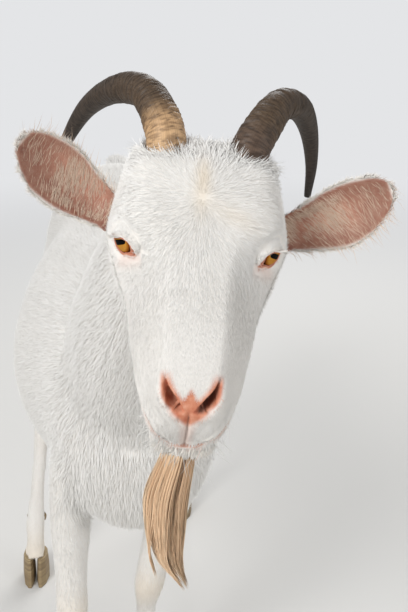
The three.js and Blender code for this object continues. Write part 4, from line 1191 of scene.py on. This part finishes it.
class GOAT_OT_coat(bpy.types.Operator):
    """The coat: solid tufts on head, ears, neck, trunk, legs, tail and udder"""

    bl_idname = "goat.coat"
    bl_label = "Coat"

    def execute(self, context):
        much = context.scene.goat_coat.density
        d = skin_data()
        x, s, u = in_head(d["v"])
        hair = haired()
        fine = 1 / (d["measures"][:, 1] * d["measures"][:, 2])
        head, jaw = share_of("head"), share_of("jaw")
        head_chart = (head_point(0, 120, -5), head_way(0.0, 1.0, 0.0), 0.36)
        front, top = ease(s, 146, 150), ease(u, -22, -16)
        for name, where, count, seed in (
            ("coat_muzzle", head * front + jaw * ease(s, 170, 176), 37000, 11),
            ("coat_brow", head * (1 - front) * top, 36000, 12),
            ("coat_cheek", head * (1 - front) * (1 - top) + jaw * (1 - ease(s, 170, 176)), 20000, 13),
        ):
            strew(name, where * hair * fine, int(count * much), seed, head_chart)
        self.head_extras(much, x, s, u, head, hair, head_chart)
        for side, word in SIDES.items():
            self.ear(side, "ear_" + word, much, hair, fine)
        strew("coat_neck", share_of("neck") * hair * fine, int(32000 * much), 31,
              (middle("neck"), NECK_WAY, 0.62))
        body = share_of("trunk") * hair * fine
        low, high = (np.array(c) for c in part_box("trunk"))
        trunk_chart = ((low + high) / 2, (0, 1, 0), (high - low)[1] * 1.1)
        half = ease(d["v"][:, 0], -0.001, 0.001)
        rear = ease(d["v"][:, 1] - (low + high)[1] / 2, -0.002, 0.002)
        for name, where, seed in (
            ("coat_breast_left", half * (1 - rear), 41),
            ("coat_breast_right", (1 - half) * (1 - rear), 42),
            ("coat_rump_left", half * rear, 43),
            ("coat_rump_right", (1 - half) * rear, 44),
        ):
            strew(name, body * where, int(24000 * much), seed, trunk_chart)
        strew("coat_tail", share_of("tail") * hair * fine, int(2600 * much), 51,
              (middle("tail"), (0, 1, 0), 0.2), 3, (1, 1, 1.2))
        strew("coat_udder", share_of("udder") * fine * (0.2 + hair), int(3000 * much), 52,
              (middle("udder"), (0, 0, 1), 0.26))
        for k, leg in enumerate(LEGS):
            low, high = (np.array(c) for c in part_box(leg))
            strew("coat_" + leg, share_of(leg) * hair * fine, int(9000 * much), 60 + k,
                  ((low + high) / 2, (0, 0, 1), (high - low)[2] * 1.05))
        return {"FINISHED"}

    def head_extras(self, much, x, s, u, head, hair, chart):
        """The longer tufts that stand up round the roots of the horns, those that hang from the
        chin over the beard's root, and the whiskers of lips and chin."""
        poll = head * hair * ease(60 - s, 0, 26) * ease(u, 16, 34) * ease(s, 6, 24)

        def up_and_out(root, lie):
            return unit(lie) + 0.5 * unit(head_way(in_head(root)[0] * 0.02, -1.0, 0.6))
        strew("coat_poll", poll, int(4400 * much), 14, chart, 3, (0.8, 0.55, 1.6), 0.35,
              way=up_and_out, tint=(0.62, 0.1), glow=(-0.1, -0.9, 0.4))
        over, off = u - mouth_line(x, s), np.abs(x)
        jaw = share_of("jaw") * hair
        lips = head * hair * ease(s, 222, 240) * bell(over - 12, 9) * ease(off, 6, 14)
        chin = jaw * ease(s, 215, 240) * bell(over + 12, 9)
        front = jaw * ease(s, 236, 248) * bell(u + 45, 7) * ease(32 - off, 0, 8)

        def hanging(root, lie):
            return head_way(in_head(root)[0] * 0.012, -0.1, -1.0)
        strew("coat_chin", front, int(1500 * much), 16, chart, 2, (1.9, 0.85, 1.6), 0.2,
              way=hanging, tint=(0.65, 0.1), plain=(0.15, 0, 0, 1), glow=(0, -0.5, 0.2))

        def outward(root, lie):
            return unit(lie) + 0.4 * head_way(in_head(root)[0] * 0.03, -0.2, -0.6)
        strew("whiskers", lips + chin, 240, 15, chart, 4, (5.5, 0.3, 9), 0.35, way=outward)

    def ear(self, side, node, much, hair, fine):
        """An ear's short coat outside, the long fine hair combed across its inside, the down
        beneath that and the fringe of its rim."""
        d = skin_data()
        root, length, way, face, across = ear_frame(side)
        chart = (root + way * length / 2 - face * 0.02, way, length * 1.3)
        mine = share_of(node)
        strew("coat_" + node, mine * hair * fine, int(9000 * much), 20 + side, chart)
        edge, t, a, _ = ear_edge(side, d["v"])
        inner = mine * ease(dot(d["n"], face), 0.1, 0.5) * ease(edge, 1, 4)
        comb = ease(t, 0.08, 0.2) * ease(0.66 - t, 0, 0.14) * ease(12 - a, 0, 12)

        def combed(place, lie):
            return 0.45 * way + across + face * 0.1
        strew("hair_in_" + node, inner * (comb + 0.12 * ease(t, 0.1, 0.2)), int(1500 * much), 30 + side,
              chart, 2, (2.7, 0.36, 2.6), 0.16, way=combed, tint=(0.66, 0.16), plain=(0.55, 0.25, 0.1, 1))
        strew("down_in_" + node, inner * (0.3 + ease(t, 0.5, 0.9)), int(2800 * much), 34 + side,
              chart, 1, (0.8, 0.4, 0.7), 0.3, tint=(0.5, 0.2), plain=(0.5, 0.45, 0.42, 1))
        rim = mine * ease(4.5 - edge, 0, 3) * ease(t, 0.06, 0.2)

        def fringe(place, lie):
            b = dot(place - root, across) / MM
            return way * 0.8 + across * np.clip(b / 14, -1, 1)[:, None] * 0.6 + face * 0.25
        strew("rim_" + node, rim, int(4200 * much), 38 + side, chart, 1, (0.85, 0.55, 1.2), 0.3,
              way=fringe, tint=(0.8, 0.1), plain=(0.15, 0, 0, 1))


def eye_material(side):
    """Eyeball: an amber iris with fine spokes, dark at its rim, and a black bar of a pupil
    that lies level, under a thin clear coat."""
    material, tree, shader = new_material("eyeball_" + SIDES[side], 0.3, 0.0,
                                          Coat_Weight=0.1, Coat_Roughness=0.05)
    centre, _, up, fore = eye_frame(side)
    tilt = math.radians(EYE["bar"])
    along, up = fore * math.cos(tilt) + up * math.sin(tilt), up * math.cos(tilt) - fore * math.sin(tilt)
    shift = add_node(tree, "ShaderNodeVectorMath", {"operation": "SUBTRACT"}, {1: tuple(centre)},
                     {0: object_places(tree)})

    def millimetres(way):
        made = add_node(tree, "ShaderNodeVectorMath", {"operation": "DOT_PRODUCT"},
                        {1: tuple(way * 1000)}, {0: shift.outputs[0]})
        return made.outputs["Value"]

    a, b = millimetres(along), millimetres(up)

    def maths(operation, first, second=None):
        made = add_node(tree, "ShaderNodeMath", {"operation": operation})
        for k, value in enumerate((first, second)):
            if hasattr(value, "is_linked"):
                tree.links.new(value, made.inputs[k])
            elif value is not None:
                made.inputs[k].default_value = value
        return made.outputs[0]

    def length(first, second):
        squares = (maths("POWER", maths("ABSOLUTE", part), 2.0) for part in (first, second))
        return maths("SQRT", maths("ADD", *squares))

    far = length(a, b)
    # fine spokes out from the pupil
    spoke = add_node(tree, "ShaderNodeCombineXYZ", links={"X": maths("MULTIPLY", maths("ARCTAN2", b, a), 5.0),
                                                          "Y": maths("MULTIPLY", far, 0.25)})
    iris = tuple(bpy.context.scene.goat_horns.iris) + (1.0,)
    tint = mixed(tree, noise(tree, spoke.outputs[0], 2.2, 4.0), colour("A06A24"), iris)
    rim = ramp(tree, maths("DIVIDE", far, 14.0), ((0.0, "E8D8C0"), (0.5, "FFFFFF"), (0.62, "C8A080"),
                                                  (0.7, "5A4030"), (0.8, "3A2A20")))
    tint = mixed(tree, 1.0, tint, rim, "MULTIPLY")
    # the pupil: a bar with round ends, 14.6 mm long and 4.6 mm high
    over = maths("MAXIMUM", maths("SUBTRACT", maths("ABSOLUTE", a), 5.0), 0.0)
    gap = length(over, maths("SUBTRACT", b, 0.5))
    bar = ramp(tree, maths("DIVIDE", gap, 5.0), ((0.0, "FFFFFF"), (0.42, "FFFFFF"),
                                                 (0.5, "000000"), (1.0, "000000")))
    tint = mixed(tree, bar, tint, colour("0A0908"))
    tree.links.new(tint, shader.inputs["Base Color"])
    return material


class GOAT_OT_eyes(bpy.types.Operator):
    """Eyeballs with a raised cornea, the moist lid margins and the white lashes"""

    bl_idname = "goat.eyes"
    bl_label = "Eyes"

    def execute(self, context):
        for side, word in SIDES.items():
            centre, look, up, fore = eye_frame(side)
            rows, columns = 40, 64
            lean = np.linspace(0, math.pi, rows)[1:-1, None]
            turn = np.linspace(0, 2 * math.pi, columns, endpoint=False)[None]
            radius = (EYE["radius"] - 0.5 + 0.8 * bell(lean, 0.62)) * MM * np.ones_like(turn)
            flat = (radius * np.sin(lean))[..., None]
            rings = centre + flat * (np.cos(turn)[..., None] * fore + np.sin(turn)[..., None] * up) \
                + (radius * np.cos(lean))[..., None] * look
            ball = put_mesh("eyeball_" + word, *capped(rings), [eye_material(side)])
            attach(ball, "root")
            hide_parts("eye_" + word)
            self.margin(side, word)
            self.lashes(side, word)
        return {"FINISHED"}

    def edge(self, side, turn, beyond, ball):
        """Places on a ball round the eye, over the edge of the opening or beyond it, with
        their ways noseward and up."""
        centre, look, up, fore = eye_frame(side)
        reach = lid_edge(np.degrees(turn)) + beyond
        a, b = LID_MIDDLE[0] + reach * np.cos(turn), LID_MIDDLE[1] + reach * np.sin(turn)
        ball = ball + corner_swell(a)
        c = np.sqrt(np.maximum(ball ** 2 - a ** 2 - b ** 2, 1))
        return centre + (a[:, None] * fore + b[:, None] * up + c[:, None] * look) * MM, a, b

    def margin(self, side, word):
        """The lid's moist edge: a thin tube along the opening, laid on a ball a little larger
        than the eye."""
        centre = eye_frame(side)[0]
        rows, columns = 96, 8
        turn = np.linspace(-math.pi, math.pi, rows, endpoint=False)
        line = self.edge(side, turn, -0.2, EYE["radius"] + 0.35)[0]
        for _ in range(3):
            line = (np.roll(line, 1, 0) + 2 * line + np.roll(line, -1, 0)) / 4
        out = unit(line - centre)
        tangent = unit(np.roll(line, -1, 0) - np.roll(line, 1, 0))
        across = unit(np.cross(out, tangent))
        k = np.linspace(0, 2 * math.pi, columns, endpoint=False)
        ring = line[:, None] + (np.cos(k)[None, :, None] * out[:, None] * 0.7
                                + np.sin(k)[None, :, None] * across[:, None] * 0.65) * MM
        faces = grid_faces(rows + 1, columns) % (rows * columns)
        v = ring.reshape(-1, 3)
        if np.sum(normals_of(v, faces) * (v - np.repeat(line, columns, 0))) < 0:
            faces = faces[:, ::-1]
        rim = put_mesh("lid_margin_" + word, v, faces, [find_material("lid_margin", margin_material)])
        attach(rim, "root")

    def lashes(self, side, word):
        """White lashes out of the upper lid, thickest over its outer half."""
        _, look, up, fore = eye_frame(side)
        rng = np.random.default_rng(70 + side)
        count = 44
        turn = math.radians(98) + rng.random(count) * math.radians(62)
        root, a, b = self.edge(side, turn, 1.2, EYE["radius"] + 1.6)
        away = a[:, None] * fore + np.maximum(b, 0)[:, None] * up
        way = unit(0.7 * look + 0.05 * away - 0.4 * fore + 0.14 * rng.standard_normal((count, 3)))
        n = unit(np.cross(np.cross(way, up[None] + 0 * way), way))
        size = rng.uniform(5, 9, count) * MM
        v, tri, per, t, shade = tuft_mesh(root, n, way, size, np.full(count, 0.5 * MM), -0.25 * size,
                                          np.zeros(count), 0.12 * size * rng.standard_normal(count), 3)
        uv = patch_map(np.stack([0.1 + 0.8 * turn / math.pi, np.full(count, 0.5)], -1), per, t)
        lash = put_mesh("lashes_" + word, v, tri, [find_material("white_hair", coat_material)],
                        {"OFBake": uv},
                        values={"tone": np.full(len(v), 0.7), "marks": np.tile((0.1, 0, 0, 1), (len(v), 1)),
                                "custom_normal": leaning(shade.reshape(-1, 3, 3), v, tri)})
        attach(lash, "root")


def margin_material():
    """Bare moist lid edge: dusky pink skin with a wet gloss."""
    material, _, shader = new_material("lid_margin", 0.35, 0.5)
    shader.inputs["Base Color"].default_value = colour("C07C62")
    return material


def horn_material(side):
    """Horn: keratin sheath, matt and grey-brown with fine lengthwise fibres. The base of the
    right one is painted pale tan as lit and the left one's darker as in shade; both darken towards
    the tips, partly their own colour and partly painted shade, and the furrows between rings are
    painted dark as shade."""
    material, tree, shader = new_material("horn_sheath_" + SIDES[side], 0.55, 0.35)
    sheath = add_node(tree, "ShaderNodeUVMap", {"uv_map": "sheath"}).outputs["UV"]
    # the right horn's base is painted pale tan as lit, the left one's darker as in shade
    base = ("E2BE94", "CCA67C") if side < 0 else ("6C5646", "5E4C3F")
    # darker towards the tips: partly the horn's own colour and partly painted shade
    body = ramp(tree, attribute(tree, "along"), ((0.0, base[0]), (0.1, base[1]), (0.17, "5C4A38"),
                                                 (0.45, "483B2F"), (0.75, "3D332B"), (1.0, "2C2520")))
    # fibres a quarter of a millimetre thick, drawn at about one millimetre, and cross lines
    fibre = noise(tree, stretched(tree, sheath, (60.0, 9.0, 1.0)), 1.0, 5.0)
    lines = noise(tree, stretched(tree, sheath, (4.0, 110.0, 1.0)), 1.0, 4.0)
    tint = mixed(tree, 0.5, body, ramp(tree, fibre, ((0.3, "A8A098"), (0.6, "FFFFFF"))), "MULTIPLY")
    tint = mixed(tree, 0.6, tint, ramp(tree, lines, ((0.38, "6E6259"), (0.55, "FFFFFF"))), "MULTIPLY")
    # painted shade in the furrows between rings
    tint = mixed(tree, attribute(tree, "furrow"), tint, colour("2E241D"))
    tree.links.new(tint, shader.inputs["Base Color"])
    add_bump(tree, shader, lines, 0.6, 0.001)
    return material


def spline(points, steps):
    """Places evenly spaced by length on a smooth curve through points: between two of them
    the curve is the cubic whose slopes come from the neighbours, spaced by the square root
    of their distances."""
    p = np.array(points, float)
    p = np.concatenate([[2 * p[0] - p[1]], p, [2 * p[-1] - p[-2]]])
    knots = np.concatenate([[0], np.cumsum(np.sqrt(np.linalg.norm(np.diff(p, axis=0), axis=1)))])
    u = np.linspace(knots[1], knots[-2], 2000)
    i = np.clip(np.searchsorted(knots, u, "right") - 1, 1, len(p) - 3)

    def blend(a, b, ta, tb):
        return ((tb - u) / (tb - ta))[:, None] * a + ((u - ta) / (tb - ta))[:, None] * b
    t0, t1, t2, t3 = knots[i - 1], knots[i], knots[i + 1], knots[i + 2]
    a1 = blend(p[i - 1], p[i], t0, t1)
    a2 = blend(p[i], p[i + 1], t1, t2)
    a3 = blend(p[i + 1], p[i + 2], t2, t3)
    line = blend(blend(a1, a2, t0, t2), blend(a2, a3, t1, t3), t1, t2)
    far = np.concatenate([[0], np.cumsum(np.linalg.norm(np.diff(line, axis=0), axis=1))])
    even = np.linspace(0, far[-1], steps)
    return np.stack([np.interp(even, far, line[:, k]) for k in range(3)], -1)


class GOAT_OT_horns(bpy.types.Operator):
    """Two horns, oval in section, with growth rings that fade towards the tips"""

    bl_idname = "goat.horns"
    bl_label = "Horns"

    def execute(self, context):
        goat = context.scene.goat_horns
        for side, word in SIDES.items():
            rng = np.random.default_rng(80 + side)
            rows, columns = 440, 36
            line = spline(HORN_LINE[side], rows)
            line = head_point(line[:, 0], line[:, 1], line[:, 2])
            t = np.linspace(0, 1, rows)
            along = unit(np.gradient(line, axis=0))
            front = unit(HEAD_TURN @ np.array((0, -0.6, 0.8)))
            fore = unit(front - along * (along @ front)[:, None])
            across = np.cross(fore, along)
            radius = 4 + 17 * (1 - t ** 1.25)
            turn = np.linspace(0, 2 * math.pi, columns, endpoint=False)
            # rings of uneven height and spacing, each a rounded hump, wavy round the horn,
            # strong over its first third and gone beyond two thirds
            steps = np.cumsum(rng.uniform(0.5, 1.6, goat.rings))
            steps = np.concatenate([[0], steps / steps[-1]]) * 0.8
            steps[-1] = 1.0
            phase = rng.uniform(0, 6.3, 4)
            waver = 0.006 * np.sin(2 * turn + phase[0])[None] \
                + 0.004 * np.sin(5 * turn[None] + 40 * t[:, None] + phase[1]) \
                + 0.0025 * np.sin(9 * turn[None] + 97 * t[:, None] + phase[2])
            place_t = np.clip(t[:, None] + waver, 0, 0.9999)
            place = np.clip(np.searchsorted(steps, place_t, "right") - 1, 0, goat.rings - 1)
            part = (place_t - steps[place]) / (steps[place + 1] - steps[place])
            height = rng.uniform(0.35, 1.3, goat.rings)[place]
            hump = 1 - np.abs(2 * part - 1) ** 2.4
            fade = (1 - ease(t, 0.3, 0.68))[:, None]
            fine = 0.2 * np.sin(place_t * 520 + 3 * np.sin(t * 31)[:, None]) * (0.3 + 0.7 * fade)
            r = radius[:, None] + goat.ring_height / MM * ((hump * height - 0.6) * fade + fine)
            cosine, sine = np.cos(turn), np.sin(turn)
            a = np.sign(cosine) * np.abs(cosine) ** 0.95 * 0.84
            b = np.sign(sine) * np.abs(sine) ** 0.95
            rings = line[:, None] + (r * a)[..., None] * across[:, None] * MM \
                + (r * b)[..., None] * fore[:, None] * MM
            # how dark the furrows are painted as shade, deepest between strong rings
            furrow = ease(0.34 - hump, 0, 0.34) * (0.15 + 0.6 * fade * height)
            uv = np.stack(np.broadcast_arrays(np.abs(turn / math.pi - 1)[None], t[:, None]), -1)
            uv = np.concatenate([uv.reshape(-1, 2), [[0.5, 0], [0.5, 1]]])
            piece = put_mesh("horn_sheath_" + word, *capped(rings), [horn_material(side)], {"sheath": uv},
                             values={"along": np.concatenate([np.repeat(t, columns), [0, 1]]),
                                     "furrow": np.concatenate([furrow.ravel(), [0, 0]])})
            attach(piece, "root")
            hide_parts("horn_" + word)
        return {"FINISHED"}


def hoof_material():
    """Hoof horn: pale grey-brown keratin with growth lines some 4 mm apart."""
    material, tree, shader = new_material("hoof_horn", 0.5, 0.4)
    lines = noise(tree, stretched(tree, object_places(tree), (12.0, 12.0, 240.0)), 1.0, 3.0)
    tint = ramp(tree, lines, ((0.3, "6E5A44"), (0.55, "94805F"), (0.75, "AD9A78")))
    tree.links.new(tint, shader.inputs["Base Color"])
    add_bump(tree, shader, lines, 0.4, 0.0008)
    return material


class GOAT_OT_hooves(bpy.types.Operator):
    """The claws and dewclaws of the four feet in hoof horn"""

    bl_idname = "goat.hooves"
    bl_label = "Hooves"

    def execute(self, context):
        material = find_material("hoof_horn", hoof_material)
        for name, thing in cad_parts.items():
            if "claw" in name:
                thing.data.materials.clear()
                thing.data.materials.append(material)
                for kind, settings in (
                    ("WELD", {"merge_threshold": 0.00005}),
                    ("BEVEL", {"width": 0.0009, "segments": 2, "limit_method": "ANGLE",
                               "loop_slide": False, "angle_limit": math.radians(38)}),
                ):
                    modifier = thing.modifiers.new(kind.lower(), kind)
                    for key, value in settings.items():
                        setattr(modifier, key, value)
        return {"FINISHED"}


def beard_material():
    """Beard hair: long, coarse and cream to gold, paler at the tips."""
    goat = bpy.context.scene.goat_beard
    material, tree, shader = new_material("beard_hair", 0.5, 0.0)
    tint = mixed(tree, attribute(tree, "tone"), tuple(goat.deep) + (1.0,), tuple(goat.pale) + (1.0,))
    tree.links.new(tint, shader.inputs["Base Color"])
    return material


class GOAT_OT_beard(bpy.types.Operator):
    """The beard: long strands gathered in locks that end in points"""

    bl_idname = "goat.beard"
    bl_label = "Beard"

    def execute(self, context):
        """A strand keeps its own place across the beard at the root and closes on that of its
        lock towards the tip; the beard's middle, half width and half depth are read from its
        table, and the outermost locks of its right side part off as a wisp."""
        goat = context.scene.goat_beard
        rng = np.random.default_rng(90)
        count, steps = goat.strands, 13
        low, high = (np.array(c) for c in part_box("beard"))
        locks = 46
        lock = rng.integers(0, locks, count)
        angle, off = rng.random(locks) * 2 * math.pi, np.sqrt(rng.random(locks))
        lock_at = np.stack([off * np.cos(angle), off * np.sin(angle)], -1)
        spread = 0.2 * rng.standard_normal((count, 2))
        own = lock_at[lock] + spread
        own = own / np.maximum(np.linalg.norm(own, axis=1, keepdims=True), 1)
        wisp = (lock_at[:, 0] < -0.62)[lock]
        end = np.where(wisp, 0.9, 0.8 + 0.2 * rng.random(locks)[lock] ** 0.6)
        end = end * rng.uniform(0.8, 1.03, count) ** 0.8
        t = np.linspace(0, 1, steps)[None] * end[:, None]
        place, *table = np.array(BEARD, float).T
        # each row of the table read softly, as the mean of five readings close together
        centre, half, thick = (np.mean([np.interp(t + k, place, row)
                                        for k in (-0.08, -0.04, 0, 0.04, 0.08)], 0) for row in table)
        loose = rng.random((count, 1)) < 0.07
        close = (t / end[:, None]) ** 1.8 * np.where(loose, -0.12, 0.75)
        across = own[:, :1] * (1 - close) + lock_at[lock, :1] * close
        deep = own[:, 1:] * (1 - close) + lock_at[lock, 1:] * close
        aside = centre + half * across * goat.width
        wisp_at, wisp_x = np.array(BEARD_WISP, float).T
        thin = np.interp(t, wisp_at, wisp_x) + 5 * (across + 0.8) * (1.1 - t)
        aside = np.where(wisp[:, None], aside + (thin - aside) * ease(t, 0.35, 0.7), aside)
        curl = 0.9 * np.sin(7 * t + 6.3 * rng.random((count, 1))) * t
        drop = (high[2] - low[2]) / MM - BEARD_START
        line = np.stack([low[0] + (aside + curl) * MM,
                         (low[1] + high[1]) / 2 + (thick * deep + 2 * np.sin(3 * t)) * MM,
                         high[2] - (BEARD_START + drop * t) * MM], -1)
        width = (rng.uniform(0.42, 0.95, count)[:, None] * (1 - 0.6 * t / end[:, None]) * MM)[..., None]
        way = unit(np.gradient(line, axis=1))
        side = unit(np.cross(way, np.array((0, -1.0, 0)) + 0.6 * rng.standard_normal((count, 1, 3))))
        half, top = side * width / 2, np.cross(way, side) * width * 0.5
        v, tri, _, per, s = spikes(line, half[:, :-1], top[:, :-1])
        outward = np.stack([across, 1.2 * deep, 0 * t + 0.1], -1) + 0.2 * rng.standard_normal((count, 1, 3))
        soft = np.concatenate([np.repeat(outward[:, :-1], 3, 1), outward[:, -1:]], 1).reshape(-1, 3)
        soft = leaning(unit(soft + 0.5 * normals_of(v, tri))[tri], v, tri)
        shade_of_lock = rng.random(locks)[lock][:, None]
        # the strands of the beard's left side (across above 0.35) are painted darker, as painted shade
        tone = 0.5 + 0.2 * shade_of_lock + 0.12 * rng.standard_normal((count, 1)) + 0.2 * s[None] ** 1.5 \
            - 0.15 * ease(own[:, :1], 0.35, 0.9) + 0.5 * ease(0.1 - s[None], 0, 0.1)
        uv = patch_map(0.05 + 0.9 * np.clip((own + 1.3) / 2.6, 0, 1), per, s)
        piece = put_mesh("beard_hair", v, tri, [find_material("beard_hair", beard_material)], {"OFBake": uv},
                         values={"tone": np.clip(tone, 0, 1).ravel(), "custom_normal": soft})
        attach(piece, "root")
        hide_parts("beard")
        return {"FINISHED"}


class GOAT_PT_panel(bpy.types.Panel):
    """The goat's pieces and settings"""

    bl_idname = "GOAT_PT_panel"
    bl_label = "Goat"
    bl_space_type = "VIEW_3D"
    bl_region_type = "UI"
    bl_category = "Goat"

    def draw(self, context):
        scene = context.scene
        for group in (scene.goat_coat, scene.goat_beard, scene.goat_horns, scene.goat_stage):
            box = self.layout.box()
            for key in group.__annotations__:
                box.prop(group, key)
        for operator in OPERATORS:
            self.layout.operator(operator.bl_idname)


GROUPS = {"goat_coat": GoatCoatSettings, "goat_beard": GoatBeardSettings,
          "goat_horns": GoatHornSettings, "goat_stage": GoatStageSettings}
OPERATORS = (GOAT_OT_stage, GOAT_OT_skin, GOAT_OT_coat, GOAT_OT_eyes, GOAT_OT_horns, GOAT_OT_hooves,
             GOAT_OT_beard)


def register():
    """Registers the classes and hangs the settings on the scene."""
    for kind in (*GROUPS.values(), *OPERATORS, GOAT_PT_panel):
        bpy.utils.register_class(kind)
    for key, kind in GROUPS.items():
        setattr(bpy.types.Scene, key, bpy.props.PointerProperty(type=kind))


def unregister():
    """Takes away what register added."""
    for key in GROUPS:
        delattr(bpy.types.Scene, key)
    for kind in reversed((*GROUPS.values(), *OPERATORS, GOAT_PT_panel)):
        bpy.utils.unregister_class(kind)


def main():
    """Makes every piece in order."""
    register()
    for operator in OPERATORS:
        group, name = operator.bl_idname.split(".")
        getattr(getattr(bpy.ops, group), name)()


if __name__ == "__main__":
    main()
